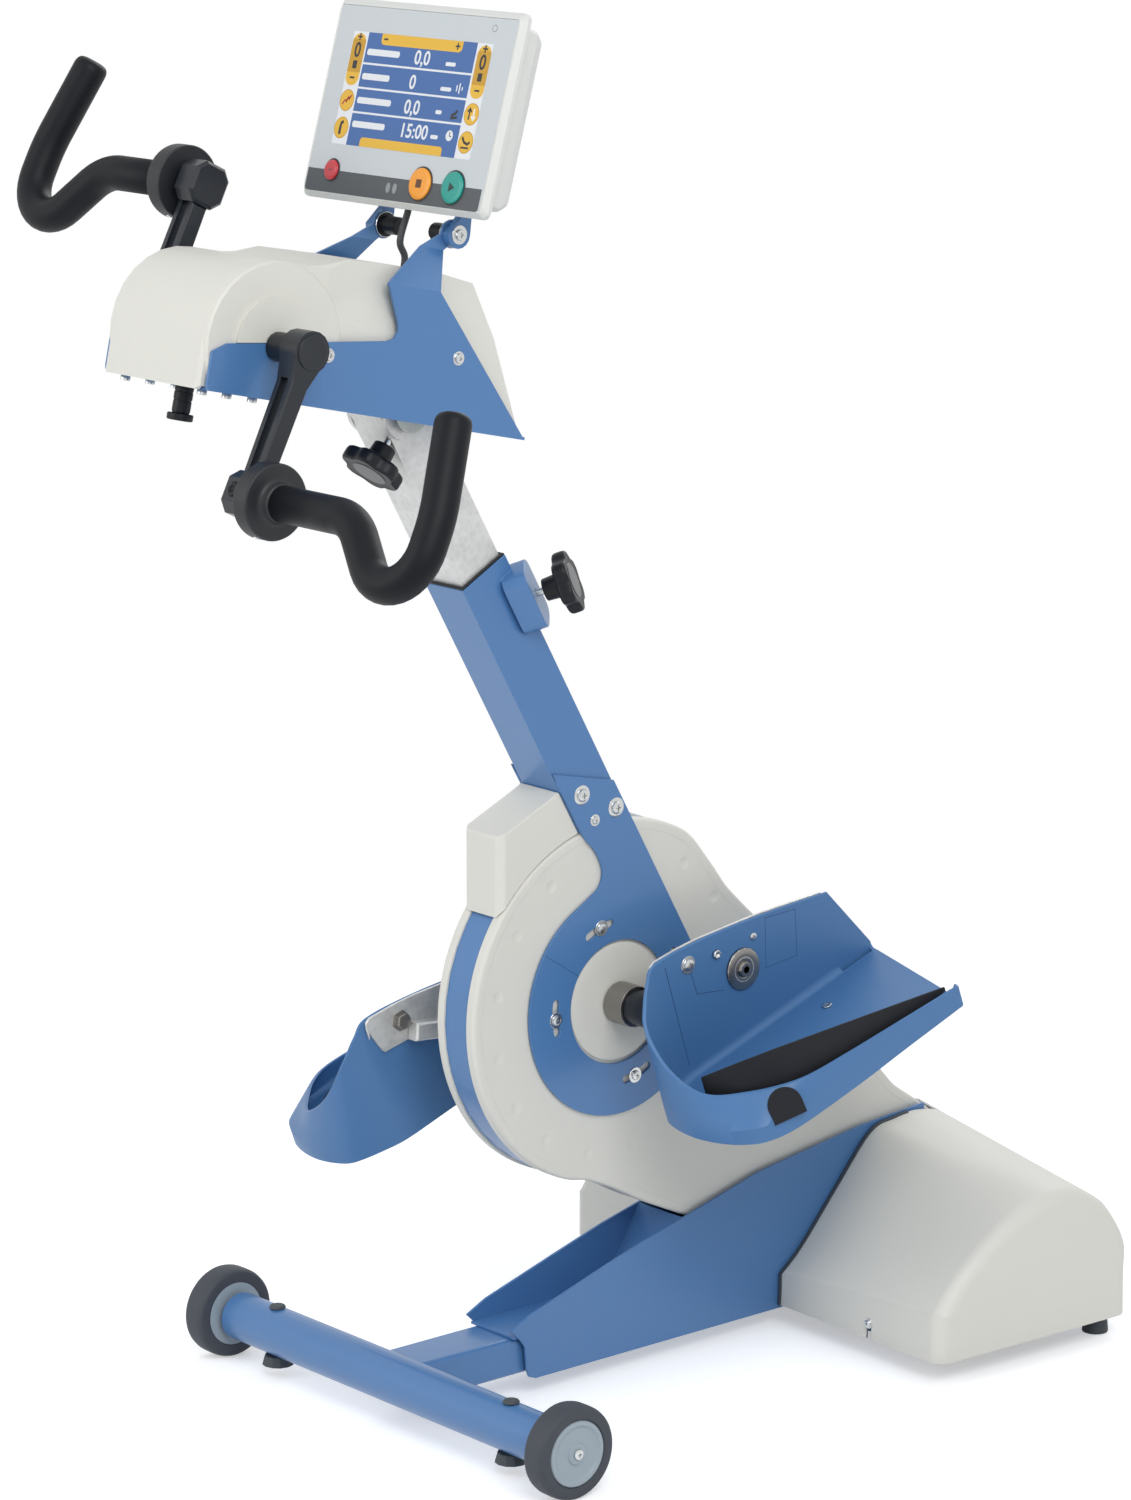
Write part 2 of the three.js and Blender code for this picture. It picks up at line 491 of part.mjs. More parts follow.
// Column frame: directions along and across the leaning column
const lean = column.lean * degree;
const up = new THREE.Vector2(-Math.sin(lean), Math.cos(lean));
const back = new THREE.Vector2(Math.cos(lean), Math.sin(lean));
const onColumn = (across, along) => [
  hub.y + back.x * (column.offset + across) + up.x * along,
  hub.z + back.y * (column.offset + across) + up.y * along];
const inColumn = (shape) => {
  const geometry = shape.isBufferGeometry ? shape : geometryOf(shape);
  const [y, z] = onColumn(0, 0);
  return geometry.clone().rotateX(lean).translate(0, y, z);
};

// Side plates that carry the column on the drum: a slotted ring that runs up into a wide strip
const plateFace = drum.halfWidth + gap;
const plateOuter = plateFace + ringPlate.wall;
const stripFront = -column.halfDepth;
const ringEdge = Array.from({ length: 21 }, (_, k) => {
  const turn = column.lean - ((column.lean + ringPlate.sweep) * k) / 20;
  const ease = Math.min(1, Math.max(0, (column.lean - turn) / ringPlate.easeTurn));
  const radius = ringPlate.flat + (ringPlate.outer - ringPlate.flat) * ease * ease * (3 - 2 * ease);
  return [hub.y + radius * Math.cos(turn * degree), hub.z + radius * Math.sin(turn * degree)];
});
const neckShares = [[-0.465, 0.9], [-0.33, 0.935], [-0.208, 1.02], [-0.185, 1.17], [-0.255, 1.345], [-0.39, 1.5]];
const plateOutline = [
  ...ringEdge,
  ...neckShares.map(([alongShare, upShare]) => [
    hub.y + ringPlate.outer * alongShare, hub.z + ringPlate.outer * upShare]),
  onColumn(stripFront, strip.frontTop), onColumn(stripFront, strip.peak), onColumn(column.halfDepth, strip.rearTop),
];
const slotEnds = [108, 182, 287, 18];
const slotCutter = (middle) => {
  const outerArc = arc(hub.y, hub.z, ringPlate.slotRadius + ringPlate.slotHalf, middle - ringPlate.slotTurn, middle + ringPlate.slotTurn, 2);
  const innerArc = arc(hub.y, hub.z, ringPlate.slotRadius - ringPlate.slotHalf, middle + ringPlate.slotTurn, middle - ringPlate.slotTurn, 2);
  return plate([...outerArc, ...innerArc], plateFace - overrun, plateOuter + overrun);
};
const sidePlate = cut(plate(plateOutline, plateFace, plateOuter),
  barX(ringPlate.inner, 0, plateOuter + overrun, 28).translate(0, hub.y, hub.z),
  ...slotEnds.map(slotCutter));

// Leg crank shaft with its steel collars
const halfShaft = [
  [shaft.end, 0], [shaft.end, shaft.radius], [shaft.collarEnd, shaft.radius],
  [shaft.collarEnd, shaft.collarRadius], [shaft.collarStart, shaft.collarRadius], [shaft.collarStart, shaft.radius],
];
piece('crank_shaft', turnedX([...halfShaft, ...halfShaft.map(([place, radius]) => [-place, radius]).reverse()], 16)
  .translate(0, hub.y, hub.z), steel, base);
const halfPulley = pulley.width / 2;
const halfBelt = belt.width / 2;
const pulleySides = 16;
piece('drive_pulley', turnedX([
  [-halfPulley, shaft.radius + gap], [-halfPulley, pulley.hubRadius],
  [-halfPulley / 2, pulley.hubRadius + pulley.lip], [-halfPulley / 2, pulley.radius - 2 * pulley.lip],
  [-halfPulley, pulley.radius + pulley.lip], [-halfBelt - gap, pulley.radius + pulley.lip],
  [-halfBelt - gap, pulley.radius], [halfBelt + gap, pulley.radius],
  [halfBelt + gap, pulley.radius + pulley.lip], [halfPulley, pulley.radius + pulley.lip],
  [halfPulley, shaft.radius + gap], [-halfPulley, shaft.radius + gap],
], pulleySides).translate(0, hub.y, hub.z), cast, base);

const motorPlace = [hub.y + motor.y, hub.z + motor.z];
const beltTurn = Math.atan2(motor.z, motor.y) / degree;
const beltSpan = Math.hypot(motor.y, motor.z);
const beltWrap = Math.acos((pulley.radius - motor.rotorRadius) / beltSpan) / degree;
const facetSlack = 1 / Math.cos(Math.PI / pulleySides);
function beltLoop(extra) {
  const large = (pulley.radius + gap) * facetSlack + extra;
  const small = (motor.rotorRadius + gap) * facetSlack + extra;
  return [
    ...arc(hub.y, hub.z, large, beltTurn + beltWrap, beltTurn + 360 - beltWrap, 16),
    ...arc(...motorPlace, small, beltTurn - beltWrap, beltTurn + beltWrap, 7),
  ];
}
piece('drive_belt', cut(plate(beltLoop(belt.thickness), -halfBelt, halfBelt),
  plate(beltLoop(0), -halfBelt - overrun, halfBelt + overrun)), rubber, base);
const motorStart = pulley.width / 2 + gap;
piece('motor_pulley', turnedX([
  [-halfPulley, 0], [-halfPulley, motor.rotorRadius + pulley.lip], [-halfBelt - gap, motor.rotorRadius + pulley.lip],
  [-halfBelt - gap, motor.rotorRadius], [halfBelt + gap, motor.rotorRadius],
  [halfBelt + gap, motor.rotorRadius + pulley.lip], [halfPulley, motor.rotorRadius + pulley.lip],
  [halfPulley, motor.shaftRadius], [motor.halfLength - motor.clearFace, motor.shaftRadius],
  [motor.halfLength - motor.clearFace, 0],
], 12).translate(0, ...motorPlace), cast, base);
// A flat motor with a bore for its rotor's shaft, held on the near shell by four feet
const motorEnd = shellFace - gap;
piece('leg_motor', turnedX([
  [motorStart, motor.shaftRadius + gap], [motorStart, motor.radius], [motorEnd, motor.radius],
  [motorEnd, 0], [motor.halfLength - motor.clearFace + gap, 0],
  [motor.halfLength - motor.clearFace + gap, motor.shaftRadius + gap], [motorStart, motor.shaftRadius + gap],
], 16).translate(0, ...motorPlace), cast, base);

for (const [side, onSide] of sides) {
  piece(`${side}_rear_foot`, onSide(rearFootShape), rubber, base);
  piece(`${side}_housing_shell`, onSide(housingShell), beige, base);
  piece(`${side}_bearing`, onSide(bearing), steel, base);
  piece(`${side}_side_plate`, onSide(sidePlate), blue, base);
}

// Nose cap between the drum and the front of the column
const noseTop = onColumn(stripFront - gap, nose.top);
const noseOutline = [
  [nose.front, nose.foot], onColumn(stripFront - gap, nose.step), noseTop,
  [noseTop[0] - nose.chamfer * 1.6, noseTop[1] - nose.chamfer * 0.8], [nose.front, nose.brow],
];
const noseSection = rounded([
  [-drum.halfWidth, nose.front + nose.chamfer], [nose.chamfer - drum.halfWidth, nose.front],
  [drum.halfWidth - nose.chamfer, nose.front], [drum.halfWidth, nose.front + nose.chamfer],
  [drum.halfWidth, hub.y], [-drum.halfWidth, hub.y],
]);
const drumCutter = (clear, half) => barX(drum.radius + clear, -half, half, 60).translate(0, hub.y, hub.z);
piece('nose_cap', cut(
  common(plate(noseOutline, -drum.halfWidth, drum.halfWidth), slab(noseSection, nose.foot - overrun,
    noseTop[1] + drum.radius)),
  drumCutter(2 * gap, drum.halfWidth + overrun),
  plate(inset(noseOutline, drum.wall), -shellFace, shellFace)), beige, base);

// Outer column: a square tube with a clamp boss on its rear right edge
const columnBox = (halfWidth, halfDepth, from, to) => box(-halfWidth, halfWidth, -halfDepth, halfDepth, from, to);
const boreHalfWidth = column.halfWidth - column.wall;
const boreHalfDepth = column.halfDepth - column.wall;
// The clamp stands out across the edge, half way between the side face and the rear face
const clampFrame = new THREE.Matrix4().makeBasis(
  new THREE.Vector3(-1, 1, 0).normalize(), new THREE.Vector3(0, 0, 1), new THREE.Vector3(1, 1, 0).normalize());
const clampPlace = [column.halfWidth, column.halfDepth, column.topReach - clampBoss.below];
const atClamp = (geometry) => geometry.applyMatrix4(clampFrame).translate(...clampPlace);
const bossOutline = rounded([
  [-clampBoss.halfBreadth, -clampBoss.halfLength, clampBoss.corner],
  [clampBoss.halfBreadth, -clampBoss.halfLength, clampBoss.corner],
  [clampBoss.halfBreadth, clampBoss.halfLength, clampBoss.corner],
  [-clampBoss.halfBreadth, clampBoss.halfLength, clampBoss.corner],
], 3);
const clampBlock = atClamp(slab(bossOutline, -clampBoss.reach, clampBoss.reach));
const clampBore = atClamp(turnedZ([
  [-clampBoss.reach * 1.4, 0], [-clampBoss.reach * 1.4, stud.radius + gap],
  [clampBoss.reach + overrun, stud.radius + gap], [clampBoss.reach + overrun, 0]], 10));
piece('outer_column', cut(
  inColumn(cut(
    join(columnBox(column.halfWidth, column.halfDepth, 0, column.topReach), clampBlock),
    columnBox(boreHalfWidth, boreHalfDepth, -overrun, column.topReach + overrun), clampBore)),
  drumCutter(3 * gap, column.halfWidth + overrun),
  box(-column.halfWidth - overrun, column.halfWidth + overrun, hub.y - drum.radius, hub.y + drum.radius,
    hub.z - drum.radius, hub.z + ringPlate.inner)), blue, base);
const guideTop = column.topReach + gap;
piece('column_guide', inColumn(cut(
  join(columnBox(column.halfWidth - gap, column.halfDepth - gap, guideTop, guideTop + guide.lip),
    columnBox(boreHalfWidth - gap, boreHalfDepth - gap, column.topReach - guide.depth, guideTop + gap)),
  columnBox(mastTube.halfWidth + gap, mastTube.halfDepth + gap, column.topReach - guide.depth - overrun,
    guideTop + guide.lip + overrun))), rubber, base);

// Star knobs: a lobed head on a hub and a threaded stud; the knob's axis is Z, with its face at the origin
function knobShape(studLength) {
  const outline = Array.from({ length: starKnob.lobes * 4 }, (_, k) => {
    const turn = (k * 360 * degree) / (starKnob.lobes * 4);
    const radius = starKnob.radius * (1 - 0.07 * (1 - Math.cos(turn * starKnob.lobes)) / 2 * 1.6);
    return [radius * Math.cos(turn), radius * Math.sin(turn)];
  });
  const shoulder = starKnob.thickness + starKnob.hubLength;
  return join(slab(outline, 0, starKnob.thickness),
    turnedZ([[gap, 0], [gap, starKnob.hubRadius], [shoulder, starKnob.hubRadius * 0.9], [shoulder, 0]], 12),
    turnedZ([[gap, 0], [gap, stud.radius], [shoulder + studLength, stud.radius], [shoulder + studLength, 0]], 8));
}
const knobGap = 8.3; // bare stud between the clamp boss and the knob's hub
const heightKnob = knobShape(knobGap + clampBoss.reach + clampBoss.bite);
const knobReach = clampBoss.reach + knobGap + starKnob.thickness + starKnob.hubLength;
piece('height_knob', inColumn(atClamp(geometryOf(heightKnob).rotateX(180 * degree).translate(0, 0, knobReach))),
  black, trainer);

// Sliding mast tube with its hinge cheeks, hinge pin and the eye that guides the tilt knob
const pivotReach = column.topReach + mastTube.rise;
const cheekRadius = 28;
const mastFoot = column.topReach - mastTube.overlap;
const mastTop = pivotReach + mastTube.headroom;
const cheekFace = headSlot.halfWidth - 2 * gap;
const pinHalf = headSlot.halfWidth + gap + ear.wall + edgeBreak;
const mastBody = join(
  cut(columnBox(mastTube.halfWidth, mastTube.halfDepth, mastFoot, mastTop),
    columnBox(mastTube.halfWidth - mastTube.wall, mastTube.halfDepth - mastTube.wall, mastFoot - overrun,
      mastTop + overrun)),
  cut(barX(cheekRadius, -cheekFace, cheekFace, 24).translate(0, 0, pivotReach),
    box(-mastTube.halfWidth + gap, mastTube.halfWidth - gap, -cheekRadius * 2, cheekRadius * 2,
      pivotReach - cheekRadius * 2, pivotReach + cheekRadius * 2)),
  barX(ear.boreRadius - gap, -pinHalf, pinHalf, 12).translate(0, 0, pivotReach));
// The tilt knob's stud enters the tube's front wall, tipped a little down the column
const tiltKnob = { place: 20, out: 36.1, down: 30.1, lean: 20.7, studLength: 18 };
const atTiltKnob = (geometry) => geometry.rotateX(-(90 - tiltKnob.lean) * degree)
  .translate(tiltKnob.place, -mastTube.halfDepth - tiltKnob.out, pivotReach - tiltKnob.down);
const tiltStud = (extra, length) => atTiltKnob(turnedZ([[0, 0], [0, stud.radius + extra],
  [length, stud.radius + extra], [length, 0]], 10));
const knobLength = starKnob.thickness + starKnob.hubLength + tiltKnob.studLength;
const mast = new THREE.Group();
trainer.add(mast);
piece('inner_column', inColumn(cut(mastBody, tiltStud(gap, knobLength + gap))), zinc, mast);
piece('tilt_knob', inColumn(atTiltKnob(geometryOf(knobShape(tiltKnob.studLength)))), black, mast);

// Head frame: folded side plates on a bottom plate, with two arms that lean in to carry the display.
// In the head's own directions, with the arm crank's axis as origin: Y runs back and Z up.
const headGroup = new THREE.Group();
const pivotPlace = onColumn(0, pivotReach);
const headTurn = head.tilt * degree;
headGroup.rotation.x = headTurn;
headGroup.position.set(0,
  pivotPlace[0] - head.pivotBack * Math.cos(headTurn) - head.pivotDrop * Math.sin(headTurn),
  pivotPlace[1] - head.pivotBack * Math.sin(headTurn) + head.pivotDrop * Math.cos(headTurn));
trainer.add(headGroup);

const plateLength = headPlate.rear - headPlate.front;
const plateRise = headPlate.bend - head.floor;
const onHeadPlate = (alongShare, upShare) => [headPlate.front + plateLength * alongShare,
  head.floor + plateRise * upShare];
const headOutline = rounded([
  [headPlate.front, head.floor, head.wall * 2], [headPlate.rear, head.floor],
  [headPlate.armRear, headPlate.bend], [headPlate.armFront, headPlate.bend],
  [...onHeadPlate(0.562, 0.593), head.wall * 4], onHeadPlate(0.143, 0.403), [...onHeadPlate(0.042, 0.362), head.wall],
  [...onHeadPlate(0, 0.288), head.wall],
], 3);
const headInner = head.halfWidth - head.wall;
const pivotLocal = [head.pivotBack, -head.pivotDrop];
const armInner = screenPivot.armOuter - head.wall;
// One arm as rings of four corners: at the bend, where it turns upright again, and at the display's pivot
const armStations = [
  [headPlate.armFront, headPlate.armRear, headPlate.bend - head.wall, head.halfWidth],
  [headPlate.armFront, headPlate.armRear, headPlate.bend, head.halfWidth],
  [screenPivot.back - armBend.front, screenPivot.back - armBend.rear, screenPivot.up - armBend.drop,
    screenPivot.armOuter],
  [screenPivot.back - screenPivot.radius * 0.8, screenPivot.back + screenPivot.radius * 0.8, screenPivot.up,
    screenPivot.armOuter],
];
const headArm = join(
  loft(armStations.map(([front, rear, level, outer]) => [
    new THREE.Vector3(outer, front, level), new THREE.Vector3(outer, rear, level),
    new THREE.Vector3(outer - head.wall, rear, level), new THREE.Vector3(outer - head.wall, front, level),
  ]), (point) => new THREE.Vector2(point.x, point.y)),
  barX(screenPivot.radius, armInner, screenPivot.armOuter, 16).translate(0, screenPivot.back, screenPivot.up));
const headSide = cut(
  join(plate(headOutline, headInner, head.halfWidth), headArm,
    plate(circle(...pivotLocal, ear.radius, 16), headSlot.halfWidth + gap, headSlot.halfWidth + gap + ear.wall),
    box(headSlot.halfWidth + gap, headSlot.halfWidth + gap + ear.wall, pivotLocal[0] - ear.radius,
      pivotLocal[0] + ear.radius, head.floor, pivotLocal[1])),
  barX(ear.boreRadius, 0, head.halfWidth / 2, 12).translate(0, ...pivotLocal),
  barX(screenPivot.boreRadius, 0, head.halfWidth, 10).translate(0, screenPivot.back, screenPivot.up),
  barX(armHub.shaftRadius + freeHole, 0, head.halfWidth + overrun, 12));
const headFloor = cut(
  box(-head.halfWidth + gap, head.halfWidth - gap, headPlate.front + head.wall, headPlate.rear, head.floor,
    head.floor + head.wall),
  box(-headSlot.halfWidth, headSlot.halfWidth, headSlot.front, headSlot.rear, head.floor - overrun,
    head.floor + head.wall + overrun));
const plungerPlace = [0, -plunger.back];
const plungerBore = turnedZ([[head.floor * 2, 0], [head.floor * 2, plunger.stemRadius + gap],
  [0, plunger.stemRadius + gap], [0, 0]], 12).translate(...plungerPlace, 0);
piece('head_frame', cut(join(headFloor, headSide, mirrored(headSide)), plungerBore), blue, headGroup);

// Pull plunger under the front of the head
const plungerTop = head.floor - gap;
piece('index_plunger', turnedZ([
  [plungerTop - plunger.barrel - plunger.disc, 0], [plungerTop - plunger.barrel - plunger.disc, plunger.discRadius],
  [plungerTop - plunger.barrel, plunger.discRadius], [plungerTop - plunger.barrel, plunger.barrelRadius],
  [plungerTop, plunger.barrelRadius], [plungerTop, plunger.stemRadius],
  [plungerTop + plunger.stem, plunger.stemRadius], [plungerTop + plunger.stem, 0],
], 12).translate(...plungerPlace, 0), black, headGroup);

// Head hood: a moulded cover with a round front, a raised arch and disc at each arm shaft and a narrower back
const crownShares = [[0.1, 1.005], [0.152, 1.04], [0.234, 1.15], [0.42, 1.185], [0.61, 1.19], [0.745, 1.14]];
function headHoodProfile(inwards, bottom) {
  const radius = hood.radius - inwards;
  const outline = inset([
    [-hood.radius, head.floor], ...arc(0, 0, hood.radius, 180, 90, 8),
    ...crownShares.map(([alongShare, upShare]) => [hood.rear * alongShare, hood.radius * upShare]),
    [hood.rear, head.floor]], inwards);
  outline[0] = [-radius, bottom];
  outline[outline.length - 1] = [hood.rear - inwards * 1.3, bottom];
  return outline;
}
// Widths of the cover across its length: full at the front, drawn in at the top behind the shafts
const hoodWidths = (inwards, bottom) => loft([
  [-hood.radius - overrun, 0], [hood.radius * 0.7, 0], [hood.radius * 2, 1], [hood.rear + overrun, 1],
].map(([back, share]) => {
  const wide = hood.halfWidth - inwards;
  const narrow = wide + (hood.topHalfWidth - hood.halfWidth) * share;
  const top = hood.radius * 1.25;
  return [[-wide, bottom], [wide, bottom], [wide, hood.radius * 0.34], [narrow, top], [-narrow, top],
    [-wide, hood.radius * 0.34]].map(([x, z]) => new THREE.Vector3(x, back, z));
}), (point) => new THREE.Vector2(point.x, point.z));
const archFace = hood.halfWidth + hood.discRaise;
const hoodSide = join(
  plate(circle(0, 0, hood.radius, 28), 0, archFace, 2 * edgeBreak),
  barX(armHub.discRadius, 0, archFace + armHub.discRaise, 20));
const armHole = armHub.shaftRadius + freeHole;
const headHood = cut(
  join(
    common(plate(headHoodProfile(0, head.floor), -hood.halfWidth, hood.halfWidth, hood.wall),
      hoodWidths(0, head.floor - overrun)),
    common(join(hoodSide, mirrored(hoodSide)),
      box(-head.halfWidth, head.halfWidth, -hood.radius, hood.radius, head.floor, hood.radius))),
  common(plate(headHoodProfile(hood.wall, head.floor * 2), hood.wall - hood.halfWidth, hood.halfWidth - hood.wall),
    hoodWidths(hood.wall, head.floor * 2)),
  box(-head.halfWidth - overrun, head.halfWidth + overrun, headPlate.front - gap, hood.rear + overrun,
    head.floor * 2, head.floor + head.wall + gap),
  plate(inset(headOutline, -2 * gap), headInner - gap, head.halfWidth + overrun),
  plate(inset(headOutline, -2 * gap), -head.halfWidth - overrun, gap - headInner),
  barX(armHole, -head.halfWidth - overrun, head.halfWidth + overrun, 12));
const leadEntry = { back: 199, radius: lead.radius + 1.2 };
const leadHole = turnedZ([[0, 0], [0, leadEntry.radius], [hood.radius * 2, leadEntry.radius], [hood.radius * 2, 0]], 8)
  .translate(0, leadEntry.back, 0);
piece('head_hood', cut(headHood, leadHole), beige, headGroup);

// Arm shaft, its motor and the arm cranks
const halfArmShaft = [
  [armHub.shaftEnd, 0], [armHub.shaftEnd, armHub.shaftRadius], [armHub.stubEnd, armHub.shaftRadius],
  [armHub.stubEnd, armHub.stubRadius], [head.halfWidth + 2 * gap, armHub.stubRadius],
  [head.halfWidth + 2 * gap, armHub.shaftRadius],
];
piece('arm_shaft', turnedX([...halfArmShaft, ...halfArmShaft.map(([place, radius]) => [-place, radius]).reverse()],
  16), black, headGroup);
piece('arm_motor', cut(
  join(barX(armMotor.radius, -armMotor.halfLength, armMotor.halfLength, 20),
    box(-armMotor.halfLength, armMotor.halfLength, -armMotor.footHalf * 0.6, armMotor.footHalf,
      head.floor + head.wall + gap, 0)),
  barX(armHub.shaftRadius + gap, -armMotor.halfLength - overrun, armMotor.halfLength + overrun, 16)), cast, headGroup);

const crankOutline = [
  [armCrank.bossRadius * 0.3, -armCrank.bossRadius * 0.9], [armCrank.bossRadius * 1.7, -armCrank.waist],
  [armCrank.throw - armCrank.block, -armCrank.waist * 0.9], [armCrank.throw - armCrank.block, armCrank.waist * 0.9],
  [armCrank.bossRadius * 1.7, armCrank.waist], [armCrank.bossRadius * 0.3, armCrank.bossRadius * 0.9],
];
const blockChamfer = armCrank.block * 0.45;
const blockOutline = rounded([[-1, -1], [1, -1], [1, 1], [-1, 1]].map(([a, b]) => [
  armCrank.throw + a * armCrank.block, b * armCrank.block, blockChamfer]), 1);
const crankDepth = armCrank.outer - armCrank.inner;
const flute = (side) => box(armCrank.inner + crankDepth * 0.28, armCrank.outer - crankDepth * 0.28,
  armCrank.bossRadius * 1.5, armCrank.throw - armCrank.block * 0.9,
  ...(side > 0 ? [armCrank.waist * 0.5, armCrank.bossRadius] : [-armCrank.bossRadius, -armCrank.waist * 0.5]));
const pinSeat = grip.discStart + grip.disc - armPin.seatWall;
const armCrankShape = cut(
  join(barX(armCrank.bossRadius, armCrank.inner, armCrank.outer, 16),
    cut(plate(crankOutline, armCrank.inner, armCrank.outer, armCrank.edge), flute(1), flute(-1)),
    plate(blockOutline, armCrank.inner - armCrank.blockProud, armCrank.outer, armCrank.edge * 2),
    barX(armPin.radius, armCrank.outer - overrun, pinSeat - gap, 10).translate(0, armCrank.throw, 0)),
  barX(armHub.shaftRadius + gap, 0, armHub.shaftEnd + gap, 16));

// Bent handles, each free to turn on its crank's pin: a disc and one round tube bent in a plane
function bent(points, steps) {
  return points.flatMap(([a, b, radius], i) => {
    if (!radius) return [[a, b]];
    const corners = rounded([points[i - 1].slice(0, 2), [a, b, radius], points[i + 1].slice(0, 2)], steps[i]);
    return corners.slice(1, -1);
  });
}
function tubeRings(path, radius, count, domes) {
  const rings = path.map(([a, b], i) => {
    const before = path[Math.max(0, i - 1)];
    const after = path[Math.min(path.length - 1, i + 1)];
    const along = new THREE.Vector2(after[0] - before[0], after[1] - before[1]).normalize();
    return { centre: new THREE.Vector2(a, b), along, radius };
  });
  const tip = rings[rings.length - 1];
  domes.forEach(([forwardShare, radiusShare]) => rings.push({
    centre: tip.centre.clone().addScaledVector(tip.along, radius * forwardShare), along: tip.along,
    radius: radius * radiusShare,
  }));
  return rings.map(({ centre, along, radius: size }) => Array.from({ length: count }, (_, k) => {
    const turn = (k * 2 * Math.PI) / count;
    const out = size * Math.cos(turn);
    return new THREE.Vector3(centre.x - along.y * out, size * Math.sin(turn), centre.y + along.x * out);
  }));
}
const handlePath = bent([
  [grip.discStart + grip.disc - overrun, 0], [grip.corner, 0, grip.bend * 1.4],
  [grip.corner + gripRun.out, -gripRun.down, grip.bend],
  [grip.corner + gripRun.kneeOut, gripRun.kneeUp, grip.bend * 3.5], [grip.corner + gripRun.endOut, gripRun.endUp],
], [0, 3, 6, 2, 0]);
const handle = cut(
  join(barX(grip.discRadius, grip.discStart, grip.discStart + grip.disc, 20),
    loft(tubeRings(handlePath, grip.radius, 10, [[0.35, 0.85], [0.55, 0.5]]),
      (point) => new THREE.Vector2(point.y, point.z))),
  barX(armPin.radius + gap, 0, pinSeat, 16));

for (const [side, onSide] of sides) {
  const crankGroup = new THREE.Group();
  crankGroup.rotation.x = armCrank.angle * degree - headTurn + (side === 'left' ? Math.PI : 0);
  headGroup.add(crankGroup);
  piece(`${side}_arm_crank`, onSide(armCrankShape), black, crankGroup);
  const handleGroup = new THREE.Group();
  handleGroup.position.y = armCrank.throw;
  handleGroup.rotation.x = -grip.lean * degree - headTurn - crankGroup.rotation.x;
  crankGroup.add(handleGroup);
  piece(`${side}_handle`, onSide(handle), black, handleGroup);
}

// Leg cranks, half a turn apart, with a foot shell free to rock on each one's pin
const legCrankShape = cut(
  join(barX(legCrankEye.hubRadius, legCrank.inner, legCrank.outer, 16),
    plate([[0, -legCrankEye.hubRadius * 0.92], [legCrank.throw, -legCrankEye.pinRadius],
      ...arc(legCrank.throw, 0, legCrankEye.pinRadius, -72, 72, 5),
      [legCrank.throw, legCrankEye.pinRadius], [0, legCrankEye.hubRadius * 0.92]],
    legCrank.armInner, legCrank.armOuter, legCrank.edge)),
  barX(shaft.radius + gap, 0, shaft.end + gap, 16),
  barX(pedalPin.radius + gap, 0, legCrank.outer, 10).translate(0, legCrank.throw, 0));
const pinInner = legCrank.armInner - pedalPin.proud;
const footFace = foot.inner + foot.wall;
const carrierFace = footFace + gap + carrier.disc;
const pedalPinShape = turnedX([[pinInner, 0], [pinInner, pedalPin.radius], [carrierFace + gap, pedalPin.radius],
  [carrierFace + gap, pedalPin.headRadius], [carrierFace + gap + pedalPin.head, pedalPin.headRadius * 0.85],
  [carrierFace + gap + pedalPin.head, 0]], 10);

// Foot shell: a thin curved wall round the back of the foot on a flat sole, open at the top and the toe.
// In the shell's own directions with the pin as origin: X outward, Y towards the toe, Z up off the sole.
// Each station of the wall: where it stands on the sole, then its upper edge (across, along, up)
const wallShares = [
  [[0, 1], [0, 1, -0.863]], [[0, 0.776], [0, 0.779, 0.229]],
  [[0, 0.241], [0, 0.241, 0.555]], [[0, -0.241], [0, -0.241, 0.788]],
  [[0, -0.576], [0, -0.606, 0.877]], [[0.043, -0.735], [0.019, -0.718, 0.699]],
  [[0.106, -0.871], [0.05, -0.8, 0.479]], [[0.168, -0.941], [0.093, -0.865, 0.274]],
  [[0.286, -0.976], [0.18, -0.906, 0]], [[0.41, -0.988], [0.311, -0.929, -0.274]],
  [[0.522, -0.982], [0.472, -0.924, -0.479]], [[0.665, -0.953], [0.602, -0.871, -0.589]],
  [[0.801, -0.9], [0.752, -0.747, -0.63]], [[0.925, -0.8], [0.888, -0.6, -0.644]],
  [[0.994, -0.582], [0.975, -0.412, -0.658]], [[1.006, -0.082], [0.994, -0.082, -0.671]],
  [[0.994, 0.353], [0.994, 0.353, -0.795]], [[0.981, 0.859], [0.981, 0.859, -0.952]],
];
const wallStations = wallShares.map(([base, rim]) => [[base[0] * foot.width, base[1] * foot.length],
  [rim[0] * foot.width, rim[1] * foot.length, -rim[2] * foot.sole]]);
const footPoint = ([across, along, up], drop) => new THREE.Vector3(foot.inner + across, along, up ?? drop);
const soleBottom = (across) => foot.underside - foot.tilt * (across / foot.width);
// Inward direction along the sole at each station, from its neighbours
const wallInward = wallStations.map((_, i) => {
  const before = wallStations[Math.max(0, i - 1)][0];
  const after = wallStations[Math.min(wallStations.length - 1, i + 1)][0];
  return new THREE.Vector2(before[1] - after[1], after[0] - before[0]).normalize();
});
const footWall = loft(wallStations.map(([base, rim], i) => {
  const seat = foot.sole - foot.wall / 2;
  const inward = wallInward[i].clone().multiplyScalar(foot.wall);
  const at = ([across, along], up) => new THREE.Vector3(foot.inner + across, along, up);
  return [at(base, seat), at([base[0] + inward.x, base[1] + inward.y], seat),
    at([rim[0] + inward.x, rim[1] + inward.y], rim[2]), at(rim, rim[2])];
}), (point) => new THREE.Vector2(point.x - foot.inner + point.y, point.z));
const soleEdge = wallStations.map(([[across, along]]) => [foot.inner + across, along]);
const soleOutline = [...soleEdge.map(([a, b]) => [a, b])];
const soleTop = slab(soleOutline, -foot.width, foot.sole);
